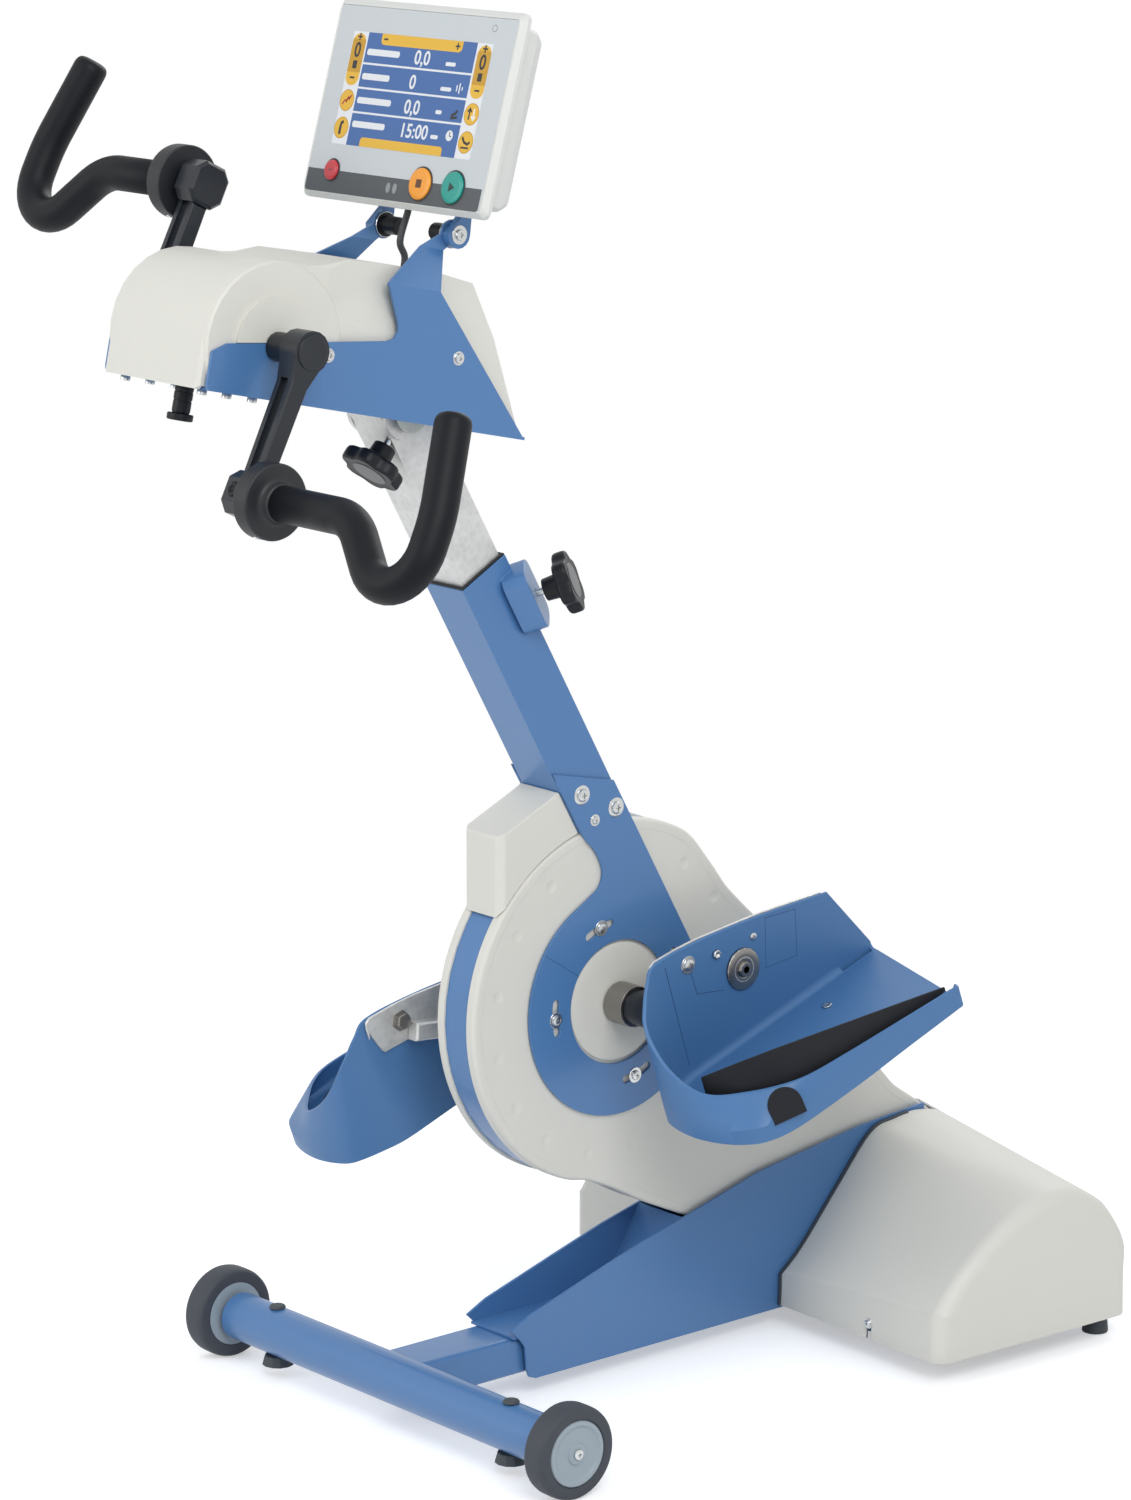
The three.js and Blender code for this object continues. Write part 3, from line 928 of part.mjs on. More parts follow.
const soleSlope = plate([[-foot.length * 2, 0], [foot.length * 2, 0], [foot.length * 2, foot.width],
  [-foot.length * 2, foot.width]], foot.inner - overrun, foot.inner + foot.width + foot.wall)
  .translate(0, 0, foot.underside).applyMatrix4(new THREE.Matrix4().makeTranslation(foot.inner, 0, foot.underside)
    .multiply(new THREE.Matrix4().makeRotationY(Math.atan(foot.tilt / foot.width)))
    .multiply(new THREE.Matrix4().makeTranslation(-foot.inner, 0, -foot.underside)));
const slit = box(foot.inner - overrun, foot.inner + foot.wall + gap, foot.slitStart,
  foot.length + overrun,
  foot.underside - foot.tilt * 2, foot.sole + foot.slitRise);
const notchPlace = [foot.inner + foot.width, foot.sole];
const footShell = cut(
  join(common(soleTop, soleSlope), footWall),
  barX(carrier.hubRadius + gap, foot.inner - overrun, footFace + overrun, 16),
  slit.clone(),
  box(notchPlace[0] - foot.wall * 2, notchPlace[0] + foot.wall, -strapNotch.heelward, strapNotch.toeward,
    foot.sole + strapNotch.foot, foot.sole + strapNotch.top));

const [blockReach, blockRise] = [carrier.blockReach, carrier.block * 1.75];
const carrierPlateFace = foot.inner - gap;
// The carrier plate's corners and their radii as shares of its reach
const carrierShares = [[-1, 0.514, 0.03], [-0.89, 0.193, 0.03], [-0.275, 0.138, 0.07], [-0.183, -0.22, 0.05],
  [0.239, -0.183, 0.07], [0.183, 0.275, 0.07], [-0.055, 0.404, 0.05], [-0.514, 0.518, 0.05]];
const carrierOutline = rounded(carrierShares.map((corner) => corner.map((share) => share * carrier.reach)), 2);
const blockBar = plate([[0, -carrier.blockHeight / 2], [blockReach, -carrier.blockHeight / 2],
  [blockReach, carrier.blockHeight / 2], [0, carrier.blockHeight / 2]],
carrierPlateFace - carrier.plate - carrier.block + gap, carrierPlateFace - carrier.plate + gap / 2, carrier.edge)
  .rotateX(carrier.blockTurn * degree);
const carrierShape = cut(
  join(plate(carrierOutline, carrierPlateFace - carrier.plate, carrierPlateFace), blockBar,
    turnedX([[legCrank.armOuter + 2 * carrier.edge, 0], [legCrank.armOuter + 2 * carrier.edge, carrier.hubRadius], [footFace + gap,
      carrier.hubRadius], [footFace + gap, carrier.discRadius], [carrierFace - edgeBreak, carrier.discRadius],
    [carrierFace, carrier.discRadius - edgeBreak], [carrierFace, 0]], 16)),
  barX(pedalPin.radius + gap, legCrank.armInner, carrierFace + overrun, 16));

// Strap across the foot, standing just inside the shell's outer wall
const strapShares = [[0.46, -0.818], [0.658, -0.753], [0.77, -0.662], [0.882, -0.518], [0.932, -0.235],
  [0.938, 0.235], [0.925, 0.588], [0.894, 0.841]];
const strapStations = strapShares.map(([a, b]) => [a * foot.width, b * foot.length]);
const strapTop = (across, along) =>
  -strap.level - strap.toeFall * along - strap.innerFall * (foot.width - strap.inset - across);
const strapRing = strapStations.map(([across, along], i) => {
  const before = strapStations[Math.max(0, i - 1)];
  const after = strapStations[Math.min(strapStations.length - 1, i + 1)];
  const inward = new THREE.Vector2(before[1] - after[1], after[0] - before[0]).normalize()
    .multiplyScalar(strap.thickness);
  const top = strapTop(across, along);
  const bottom = Math.max(foot.sole + gap * 2, top - strap.width);
  return [[across, along, bottom], [across + inward.x, along + inward.y, bottom],
    [across + inward.x, along + inward.y, top], [across, along, top]]
    .map(([a, b, c]) => new THREE.Vector3(foot.inner + a, b, c));
});
const strapShape = loft(strapRing, (point) => new THREE.Vector2(point.x - foot.inner + point.y, point.z));

for (const [side, onSide] of sides) {
  const crankGroup = new THREE.Group();
  crankGroup.rotation.x = legCrank.angle * degree + (side === 'left' ? Math.PI : 0);
  crankGroup.position.set(0, hub.y, hub.z);
  base.add(crankGroup);
  piece(`${side}_leg_crank`, onSide(legCrankShape), black, crankGroup);
  const pedalGroup = new THREE.Group();
  pedalGroup.position.y = legCrank.throw;
  pedalGroup.rotation.x = foot.pitch * degree - crankGroup.rotation.x;
  crankGroup.add(pedalGroup);
  piece(`${side}_pedal_pin`, onSide(pedalPinShape), steel, pedalGroup);
  piece(`${side}_foot_shell`, onSide(footShell), blue, pedalGroup);
  piece(`${side}_pedal_carrier`, onSide(carrierShape), zinc, pedalGroup);
  piece(`${side}_foot_strap`, onSide(strapShape), rubber, pedalGroup);
}

// Display: a shallow case with a bevelled rim, hung between the head's two arms on a plate with lugs.
// In its own directions with the face's lower edge as origin: Y goes back into the case and Z up the face.
const displayGroup = new THREE.Group();
displayGroup.rotation.x = display.lean * degree;
const armTip = new THREE.Vector3(0, screenPivot.back, screenPivot.up).applyEuler(new THREE.Euler(headTurn, 0, 0))
  .add(headGroup.position);
const hangFromFace = new THREE.Vector3(0, display.behind, -display.below);
displayGroup.position.copy(armTip.clone().sub(hangFromFace.clone().applyEuler(displayGroup.rotation)));
trainer.add(displayGroup);

// The case as outlines one behind the other: bevelled front, lip, then the narrower back
const caseOutline = (margin, depth) => rounded([[-1, 0], [1, 0], [1, 1], [-1, 1]].map(([side, top]) => [
  side * (display.halfWidth - margin), top * display.height - display.bevel + (top ? -margin : margin),
  display.bevel * 1.6]), 3).map(([x, z]) => new THREE.Vector3(x, depth, z));
const caseBody = loft([
  caseOutline(display.bevel, 0), caseOutline(0, display.bevel), caseOutline(0, display.lip),
  caseOutline(display.inset * 0.65, display.lip), caseOutline(display.inset * 0.7, display.depth - display.bevel * 2),
  caseOutline(display.inset, display.depth),
], (point) => new THREE.Vector2(point.x, point.z));
const faceHeight = display.height - 2 * display.bevel;
const glassFoot = (faceHeight - glass.height) / 2;
const buttons = {
  stop: { place: [0.3, 0.107], radius: button.radius, material: orange },
  start: { place: [0.657, 0.109], radius: button.radius, material: green },
  standby: { place: [-0.711, 0.12], radius: button.standbyRadius, material: red },
};
const buttonDisc = (radius, from, to) => [[from, 0], [from, radius], [to, radius], [to, 0]];
const onFace = ([acrossShare, upShare], points, count) => turnedZ(points, count).rotateX(-90 * degree)
  .translate(acrossShare * (display.halfWidth - display.bevel), 0, upShare * faceHeight);
const stemEnd = gap + button.stem;
const holesFor = (reach, round) => Object.values(buttons).map(({ place, radius }) =>
  onFace(place, buttonDisc((round ? radius : button.stemRadius) + gap, -overrun, reach), 16));
const leadSeat = { behind: 24.5, depth: 6 };
piece('display_case', cut(caseBody,
  box(-glass.halfWidth - gap, glass.halfWidth + gap, -overrun, glass.thickness + gap, glassFoot - gap,
    glassFoot + glass.height + gap),
  ...holesFor(stemEnd + button.travel + gap, false),
  turnedZ([[-display.below, 0], [-display.below, lead.radius + 2 * gap],
    [display.inset * 0.65 + leadSeat.depth, lead.radius + 2 * gap], [display.inset * 0.65 + leadSeat.depth, 0]], 8)
    .translate(0, leadSeat.behind, 0)), beige, displayGroup);
piece('display_screen', cut(
  box(-glass.halfWidth, glass.halfWidth, 0, glass.thickness, glassFoot, glassFoot + glass.height),
  ...holesFor(glass.thickness + overrun, true)), darkGlass, displayGroup);
for (const [name, { place, radius, material }] of Object.entries(buttons)) {
  piece(`${name}_button`, onFace(place, [
    [-button.proud, 0], [-button.proud, radius - edgeBreak], [edgeBreak - button.proud, radius], [gap, radius],
    [gap, button.stemRadius], [stemEnd, button.stemRadius], [stemEnd, 0],
  ], 16), material, displayGroup);
}

const lugFoot = [display.behind, -display.below];
const lugInner = screenPivot.armOuter + gap;
const bracketFace = display.depth + gap;
const lugShape = join(
  plate([...arc(...lugFoot, lug.radius, 190, 370, 8), [bracketFace + head.wall, display.height * 0.25],
    [bracketFace, display.height * 0.25], [bracketFace, 0]], lugInner, lugInner + lug.wall),
  barX(lug.pinRadius, lugInner - tiltNut.length + gap, lugInner + edgeBreak, 10).translate(0, ...lugFoot));
piece('display_bracket', join(
  box(-lugInner - lug.wall + edgeBreak, lugInner + lug.wall - edgeBreak, bracketFace, bracketFace + head.wall,
    display.height * 0.08, display.height * 0.3),
  lugShape, mirrored(lugShape)), blue, displayGroup);
const nutOuter = armInner - gap;
const nutShape = turnedX([
  [nutOuter - tiltNut.length, 0], [nutOuter - tiltNut.length, tiltNut.radius - edgeBreak],
  [nutOuter - tiltNut.length + edgeBreak, tiltNut.radius], [nutOuter - tiltNut.washer, tiltNut.radius],
  [nutOuter - tiltNut.washer, tiltNut.washerRadius], [nutOuter, tiltNut.washerRadius],
  [nutOuter, lug.pinRadius + gap], [nutOuter - tiltNut.length + gap * 2, lug.pinRadius + gap],
  [nutOuter - tiltNut.length + gap * 2, 0],
], 14).translate(0, ...lugFoot);
for (const [side, onSide] of sides) {
  piece(`${side}_display_knob`, onSide(nutShape), black, displayGroup);
}

// The display's cable, from a seat in the case's underside to the hood's crown, in a curve that sags forward
displayGroup.updateMatrixWorld(true);
headGroup.updateMatrixWorld(true);
const leadStart = new THREE.Vector3(0, leadSeat.behind, display.inset * 0.65 + leadSeat.depth / 2 - display.bevel);
const leadBelow = leadStart.clone().setZ(-display.bevel);
const leadEnd = new THREE.Vector3(0, leadEntry.back, hood.radius + gap);
const leadAbove = leadEnd.clone().setZ(hood.radius * 1.31);
const leadSag = { forward: 5.4, share: 0.62 };
const leadCurve = [displayGroup.localToWorld(leadStart), displayGroup.localToWorld(leadBelow),
  headGroup.localToWorld(leadAbove), headGroup.localToWorld(leadEnd)];
const sagPoint = leadCurve[1].clone().lerp(leadCurve[2], leadSag.share).add(new THREE.Vector3(0, -leadSag.forward, 0));
leadCurve.splice(2, 0, sagPoint);
const leadSpline = new THREE.CatmullRomCurve3(leadCurve, false, 'centripetal');
const leadPath = leadSpline.getPoints(10).map((point) => [point.y, point.z]);
const leadRings = tubeRings(leadPath, lead.radius, 8, []).map((ring) =>
  ring.map((point) => new THREE.Vector3(point.y, point.x, point.z)));
piece('display_cable', loft(leadRings, (point) => new THREE.Vector2(point.x, point.y)), black, trainer);

trainer.updateMatrixWorld(true);
const whole = new THREE.Box3().setFromObject(trainer, true);
trainer.position.y = -(whole.min.y + whole.max.y) / 2;

export default trainer;
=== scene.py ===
import math

import bmesh
import bpy
from mathutils import Matrix, Vector, geometry


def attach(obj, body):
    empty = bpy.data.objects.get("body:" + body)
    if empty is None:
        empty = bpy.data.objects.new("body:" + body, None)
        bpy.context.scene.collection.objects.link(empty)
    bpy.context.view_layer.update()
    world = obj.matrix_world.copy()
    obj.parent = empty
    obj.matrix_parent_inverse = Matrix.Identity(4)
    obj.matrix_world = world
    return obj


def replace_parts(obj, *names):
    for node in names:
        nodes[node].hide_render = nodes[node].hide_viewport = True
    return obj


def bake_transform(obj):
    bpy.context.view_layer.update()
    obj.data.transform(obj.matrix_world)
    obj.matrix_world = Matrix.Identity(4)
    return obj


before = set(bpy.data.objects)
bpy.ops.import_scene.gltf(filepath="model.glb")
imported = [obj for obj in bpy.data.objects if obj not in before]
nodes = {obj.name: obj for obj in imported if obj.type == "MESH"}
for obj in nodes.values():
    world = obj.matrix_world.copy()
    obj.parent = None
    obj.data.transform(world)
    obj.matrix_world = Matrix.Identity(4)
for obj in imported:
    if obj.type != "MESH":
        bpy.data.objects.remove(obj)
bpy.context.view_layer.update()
scene = bpy.context.scene
scene.view_settings.view_transform = "Standard"

# Camera: a long lens a little above the display, in front of the machine and to its right, level with no roll.
camera_data = bpy.data.cameras.new("camera")
camera_data.sensor_width = 36
camera_data.lens = 121.45
camera = bpy.data.objects.new("camera", camera_data)
camera.location = (3.7886, -3.2524, 1.7789)
camera.rotation_euler = (math.radians(90 - 12.62), 0, math.radians(49.41))
scene.collection.objects.link(camera)
scene.camera = camera

# Studio: a pale floor that glows to white further out, an even pale surround and three large soft lamps.


def put(tree, socket, value):
    """Gives a node's input a value, or links it where the value is a socket."""
    if isinstance(value, bpy.types.NodeSocket):
        tree.links.new(value, socket)
    else:
        socket.default_value = value


def node_of(tree, kind, **values):
    """A shader node with its input values set by name."""
    made = tree.nodes.new(kind)
    for name, value in values.items():
        put(tree, made.inputs[name.replace("_", " ")], value)
    return made


def math_of(tree, operation, *values):
    """What a math node makes of values or sockets."""
    made = tree.nodes.new("ShaderNodeMath")
    made.operation = operation
    for socket, value in zip(made.inputs, values):
        put(tree, socket, value)
    return made.outputs[0]


def joined(tree, kind, first, second, **values):
    """Two shaders through a node that mixes or adds them."""
    made = node_of(tree, kind, **values)
    for socket, shader in zip([socket for socket in made.inputs if socket.type == "SHADER"], (first, second)):
        tree.links.new(shader.outputs[0], socket)
    return made


def show(tree, kind, shader):
    """Leads a shader to the tree's output."""
    tree.links.new(shader.outputs[0], tree.nodes.new(kind).inputs["Surface"])


def empty_finish(name):
    """A material and its tree, with no nodes yet."""
    made = bpy.data.materials.new(name)
    made.use_nodes = True
    made.node_tree.nodes.clear()
    return made, made.node_tree


def srgb(red, green, blue):
    """A colour as it is seen on a screen, from 0 to 255, made linear."""
    def linear(value):
        value /= 255
        return value / 12.92 if value <= 0.04045 else ((value + 0.055) / 1.055) ** 2.4
    return (linear(red), linear(green), linear(blue), 1.0)


def lamp(name, place, target_height, size, watts):
    """A square soft lamp that faces a point above the origin."""
    data = bpy.data.lights.new(name, "AREA")
    data.size = size
    data.energy = watts
    made = bpy.data.objects.new(name, data)
    made.location = place
    made.rotation_euler = (Vector((0, 0, target_height)) - Vector(place)).to_track_quat("-Z", "Y").to_euler()
    scene.collection.objects.link(made)


lamp("key_lamp", (3.2, -1.6, 3.4), 0.6, 2.4, 88)
lamp("front_lamp", (-1.6, -4.2, 2.2), 0.7, 2.6, 52)
lamp("back_lamp", (-1.5, 3.6, 3.2), 0.7, 2.6, 50)


def background_seen(tree):
    """One where a ray looks at the background, straight or in a reflection or through glass, and nought elsewhere."""
    path = tree.nodes.new("ShaderNodeLightPath").outputs
    mirrored_too = math_of(tree, "MAXIMUM", path["Is Camera Ray"], path["Is Glossy Ray"])
    return math_of(tree, "MAXIMUM", mirrored_too, path["Is Transmission Ray"])


white = (1, 1, 1, 1)
world = bpy.data.worlds.new("surround")
world.use_nodes = True
tree = world.node_tree
tree.nodes.clear()
soft = node_of(tree, "ShaderNodeBackground", Color=srgb(236, 240, 246), Strength=0.62)
bright = node_of(tree, "ShaderNodeBackground", Color=white, Strength=1.0)
show(tree, "ShaderNodeOutputWorld", joined(tree, "ShaderNodeMixShader", soft, bright, Fac=background_seen(tree)))
scene.world = world

floor_half = 60
floor_mesh = bpy.data.meshes.new("floor")
floor_corners = [(x * floor_half, y * floor_half, 0) for x, y in ((-1, -1), (1, -1), (1, 1), (-1, 1))]
floor_mesh.from_pydata(floor_corners, [], [(0, 1, 2, 3)])
floor = bpy.data.objects.new("floor", floor_mesh)
scene.collection.objects.link(floor)
floor_finish, tree = empty_finish("studio_floor")
matt = node_of(tree, "ShaderNodeBsdfDiffuse", Color=srgb(240, 240, 240))
glow = node_of(tree, "ShaderNodeEmission", Color=white, Strength=0.42)
lit = joined(tree, "ShaderNodeAddShader", matt, glow)
place = tree.nodes.new("ShaderNodeTexCoord").outputs["Object"]
away = node_of(tree, "ShaderNodeVectorMath", Vector=place)
away.operation = "LENGTH"
edge = node_of(tree, "ShaderNodeMapRange", Value=away.outputs["Value"], From_Min=0.7, From_Max=2.2)
edge.interpolation_type = "SMOOTHSTEP"
sweep = node_of(tree, "ShaderNodeEmission", Color=white, Strength=1.0)
faded = joined(tree, "ShaderNodeMixShader", lit, sweep, Fac=edge.outputs["Result"])
show(tree, "ShaderNodeOutputMaterial", joined(tree, "ShaderNodeMixShader", matt, faded, Fac=background_seen(tree)))
floor_mesh.materials.append(floor_finish)

# Display cable: a round black rubber lead that leaves the display's underside, sags forward and enters the
# crown of the head hood. It bends where the display tilts.


def shader_group(name, inputs, outputs):
    """A node group with named sockets, for an effect that several finishes use."""
    group = bpy.data.node_groups.new(name, "ShaderNodeTree")
    for socket, kind, default in inputs:
        group.interface.new_socket(socket, in_out="INPUT", socket_type=kind).default_value = default
    for socket, kind in outputs:
        group.interface.new_socket(socket, in_out="OUTPUT", socket_type=kind)
    return group, group.nodes.new("NodeGroupInput").outputs, group.nodes.new("NodeGroupOutput").inputs


# Moulded or coated skin: fine grain in the surface, with a slow drift in tone and gloss
skin_group, skin_in, skin_out = shader_group("skin", [
    ("Tone", "NodeSocketColor", (0.5, 0.5, 0.5, 1)), ("Drift", "NodeSocketFloat", 0.04),
    ("Gloss", "NodeSocketFloat", 0.45), ("Grain Size", "NodeSocketFloat", 900.0),
    ("Grain Depth", "NodeSocketFloat", 0.05)], [
    ("Color", "NodeSocketColor"), ("Roughness", "NodeSocketFloat"), ("Normal", "NodeSocketVector")])
place = skin_group.nodes.new("ShaderNodeTexCoord").outputs["Object"]
fine = node_of(skin_group, "ShaderNodeTexNoise", Vector=place, Scale=skin_in["Grain Size"], Detail=3.0,
               Roughness=0.6)
slow = node_of(skin_group, "ShaderNodeTexNoise", Vector=place, Scale=7.0, Detail=2.0)
drifting = math_of(skin_group, "SUBTRACT", slow.outputs["Fac"], 0.5)
drifting = math_of(skin_group, "MULTIPLY", drifting, skin_in["Drift"])
tone = node_of(skin_group, "ShaderNodeHueSaturation", Color=skin_in["Tone"],
               Value=math_of(skin_group, "ADD", drifting, 1.0))
dent = node_of(skin_group, "ShaderNodeBump", Height=fine.outputs["Fac"], Distance=0.0004,
               Strength=skin_in["Grain Depth"])
put(skin_group, skin_out["Color"], tone.outputs["Color"])
put(skin_group, skin_out["Roughness"], math_of(skin_group, "ADD", drifting, skin_in["Gloss"]))
put(skin_group, skin_out["Normal"], dent.outputs["Normal"])


def finish_from(group, name, inputs, **values):
    """A finish whose shader takes what a node group puts out for its own inputs."""
    made, tree = empty_finish(name)
    effect = tree.nodes.new("ShaderNodeGroup")
    effect.node_tree = group
    for socket, value in zip(effect.inputs, inputs):
        socket.default_value = value
    shader = node_of(tree, "ShaderNodeBsdfPrincipled", **values)
    for given, taken in (("Color", "Base Color"), ("Roughness", "Roughness"), ("Normal", "Normal")):
        if given in effect.outputs:
            tree.links.new(effect.outputs[given], shader.inputs[taken])
    show(tree, "ShaderNodeOutputMaterial", shader)
    return made


def finish(name, tone, gloss, drift=0.05, grain=900.0, depth=0.12, metal=0.0, coat=0.0, specular=0.5):
    """A finish of a coated, moulded or turned surface, in a tone from 0 to 255."""
    return finish_from(skin_group, name, (srgb(*tone), drift, gloss, grain, depth), Metallic=metal, Coat_Weight=coat,
                       Coat_Roughness=0.12, Specular_IOR_Level=specular)


def solid(name, points, faces, material, body, smooth=True):
    """A closed piece from its corners and faces, with its faces turned outwards, riding on a body if it has one."""
    mesh = bpy.data.meshes.new(name)
    mesh.from_pydata([tuple(point) for point in points], [], faces)
    shape = bmesh.new()
    shape.from_mesh(mesh)
    bmesh.ops.remove_doubles(shape, verts=shape.verts, dist=1e-6)
    bmesh.ops.recalc_face_normals(shape, faces=shape.faces)
    shape.to_mesh(mesh)
    shape.free()
    for face in mesh.polygons:
        face.use_smooth = smooth
    mesh.materials.append(material)
    made = bpy.data.objects.new(name, mesh)
    scene.collection.objects.link(made)
    if body:
        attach(made, body)
    return made


def step(x, y, z):
    """A move in a group's own directions, in millimetres."""
    return Matrix.Translation((x / 1000, y / 1000, z / 1000))


def rotation(degrees, axis):
    """A turn about one of a group's own directions."""
    return Matrix.Rotation(math.radians(degrees), 4, axis)


def place_at(y, z, tilt=0.0):
    """Where a group of pieces stands, in millimetres, and how far it leans about the X axis."""
    return step(0, y, z) @ rotation(tilt, "X")


def ring_of(radius, sides, y=0.0, z=0.0):
    """Points on a circle."""
    return [(y + radius * math.cos(2 * math.pi * k / sides), z + radius * math.sin(2 * math.pi * k / sides))
            for k in range(sides)]


def strips(first, second, count, closed=True):
    """Faces between two rows of points, from the place of each row's first point."""
    return [(first + k, first + (k + 1) % count, second + (k + 1) % count, second + k)
            for k in range(count if closed else count - 1)]


def rings_to_faces(count, sides, closed=False, caps=True):
    """The faces of a skin through rings of points, with its ends closed."""
    faces = []
    for ring in range(count if closed else count - 1):
        faces += strips(ring * sides, (ring + 1) % count * sides, sides)
    if caps and not closed:
        faces.append(tuple(reversed(range(sides))))
        faces.append(tuple((count - 1) * sides + side for side in range(sides)))
    return faces


def heading_at(path, i):
    """The direction of an open path at one of its points."""
    return (path[min(i + 1, len(path) - 1)] - path[max(i - 1, 0)]).normalized()


def along(path, radius, sides, ends=()):
    """Rings of points along a path and their faces, with more rings for a rounded end."""
    rings = []
    across = heading_at(path, 0).orthogonal()
    for i, point in enumerate(path):
        heading = heading_at(path, i)
        across = (across - heading * across.dot(heading)).normalized()
        rings.append((point, heading, across, radius))
    rings += [(point + heading * radius * reach, heading, across, radius * size) for reach, size in ends]
    points = []
    for centre, heading, across, size in rings:
        other = heading.cross(across)
        points += [centre + across * a + other * b for a, b in ring_of(size, sides)]
    return points, rings_to_faces(len(rings), sides)


def spline(points, steps):
    """A smooth path through points, with equally many steps between each pair."""
    path = []
    last = len(points) - 1
    for i in range(last):
        before, start, end, after = (points[max(i - 1, 0)], points[i], points[i + 1], points[min(i + 2, last)])
        for k in range(steps):
            t = k / steps
            path.append(0.5 * ((2 * start) + (end - before) * t + (2 * before - 5 * start + 4 * end - after) * t * t
                               + (3 * start - before - 3 * end + after) * t * t * t))
    path.append(points[-1])
    return path


head_at = place_at(-426.91, 1119.76, -12.7)
display_at = place_at(-227.95, 1232.92, -15.9)
cable_black = finish("cable_black", (58, 60, 62), 0.5, depth=0.2)
cable_route = [display_at @ Vector((0, 0.0245, 0.0084)), display_at @ Vector((0, 0.0245, -0.005)),
               Vector((0, -0.2157, 1.1937)), head_at @ Vector((0, 0.199, 0.1035)),
               head_at @ Vector((0, 0.199, 0.0793))]
cable_radius = 0.0034
cable = solid("display_lead", *along(spline(cable_route, 8), cable_radius, 16), cable_black, None)
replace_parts(cable, "display_cable")
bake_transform(cable)

# Base frame: a round steel cross tube in front, a square one behind, a beam between them and a folded channel
# on the beam. They are welded together and coated in one satin blue powder paint.


def soften(piece, width=0.0, steps=2, angle=30):
    """Rounds the piece's sharp edges by a width and shades the rest smooth."""
    for face in piece.data.polygons:
        face.use_smooth = True
    if width:
        bevel = piece.modifiers.new("edges", "BEVEL")
        bevel.limit_method = "ANGLE"
        bevel.angle_limit = math.radians(angle)
        bevel.width = width
        bevel.segments = steps
    piece.modifiers.new("shading", "WEIGHTED_NORMAL").keep_sharp = True
    return piece


def dress(name, material, width=0.0006, angle=28, steps=2):
    """Gives a node its finish, rounds its sharp edges a little and shades it smooth between them."""
    piece = nodes[name]
    mesh = piece.data
    for mark in ("custom_normal", "sharp_edge", "sharp_face"):
        if mark in mesh.attributes:
            mesh.attributes.remove(mesh.attributes[mark])
    mesh.materials.clear()
    mesh.materials.append(material)
    piece.modifiers.new("corners", "WELD").merge_threshold = 0.00001
    flat = piece.modifiers.new("flats", "DECIMATE")
    flat.decimate_type = "DISSOLVE"
    flat.angle_limit = math.radians(0.6)
    return soften(piece, width, steps, angle)


def set_at(place, points):
    """Points in millimetres in a group's own directions, set where the group stands."""
    return [place @ (Vector(point) / 1000) for point in points]


mirror = {"right": Matrix.Identity(4), "left": Matrix.Diagonal((-1, 1, 1, 1))}
base_place = place_at(-237.35, 0)
frame_blue = finish("frame_blue", (76, 122, 174), 0.36, drift=0.03, grain=420, depth=0.10, coat=0.2)
for name in ("front_cross_tube", "main_beam", "rear_cross_tube"):
    dress(name, frame_blue)


def oblong(front, back, low, high):
    """The outline of a box seen from the side."""
    return [(front, low), (back, low), (back, high), (front, high)]


wall_outline = [(147.3, 31.1), (150.7, 22.9), (159.8, 19.4), (712, 19.4), (712, 206.4), (616.1, 198.9),
                (469.8, 177.4), (363.9, 149.7), (310.1, 136.3), (239.9, 115.3), (152.2, 88.6), (127, 76.4),
                (138.7, 65.0), (145.1, 56.1)]
ramp_outline = [(307.4, 68.5), (313.4, 71.5), (361.9, 149.0), (364.9, 147.2), (316.9, 69.5), (315.4, 68.5)]
tray_floor, middle_rib, rear_rib = (132, 712, 65.8, 68.8), (437, 440, 68.5, 135.8), (641.8, 644.8, 68.5, 135.8)
outrigger = oblong(503, 525, 28, 48)
wall_in, wall_out, between_walls, outside_walls = 33.9, 36.9, 34.2, 215
rows = [(wall_outline, wall_in, wall_out), (wall_outline, -wall_out, -wall_in),
        (ramp_outline, -between_walls, between_walls)]
rows += [(oblong(*spans), -between_walls, between_walls) for spans in (tray_floor, middle_rib, rear_rib)]
rows += [(outrigger, between_walls, outside_walls), (outrigger, -outside_walls, -between_walls)]
points, faces = [], []
for outline, low, high in rows:
    faces += [tuple(len(points) + corner for corner in face) for face in rings_to_faces(2, len(outline))]
    points += [(x, *corner) for x in (low, high) for corner in outline]
channel = solid("channel", set_at(base_place, points), faces, frame_blue, "base")
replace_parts(channel, "channel_frame")
soften(channel, 0.0006, 2, 28)

# Front wheels: a soft rubber tyre with rounded shoulders on a moulded grey hub, which turns on the tube's
# spindle and is held by a cross-head screw in its dished face.
tyre_rubber = finish("tyre_rubber", (60, 64, 72), 0.66, depth=0.3, grain=1400)
hub_grey = finish("hub_grey", (156, 168, 176), 0.48, grain=1500)
buffer_rubber = finish("buffer_rubber", (66, 72, 76), 0.7, depth=0.3)
bright_zinc = finish("bright_zinc", (206, 208, 208), 0.25, drift=0.12, metal=1.0, grain=700, depth=0.06)
tyre_profile = [(259.5, 33.7), (259.5, 41.5), (260.4, 44.4), (262.6, 46.4), (266, 47.3), (274, 47.5), (282, 47.3),
                (285.4, 46.4), (287.6, 44.4), (288.5, 41.5), (288.5, 36), (287.9, 34.6), (286.6, 33.7), (259.5, 33.7)]
hub_profile = [(283.4, 0), (283.4, 8.3), (259.8, 8.3), (259.8, 33.4), (286.9, 33.4), (288.3, 32.4), (288.5, 30.9),
               (288.3, 28.6), (286.4, 26.8), (285.6, 24.5), (285.5, 12.5), (286.3, 11), (287.9, 10.4), (288.2, 0)]
collar_profile = [(259.2, 8.4), (259.2, 15.5), (259.9, 16.5), (260.2, 16.5), (260.2, 8.4), (259.2, 8.4)]
wheel_place = place_at(-237.35, 47.5)
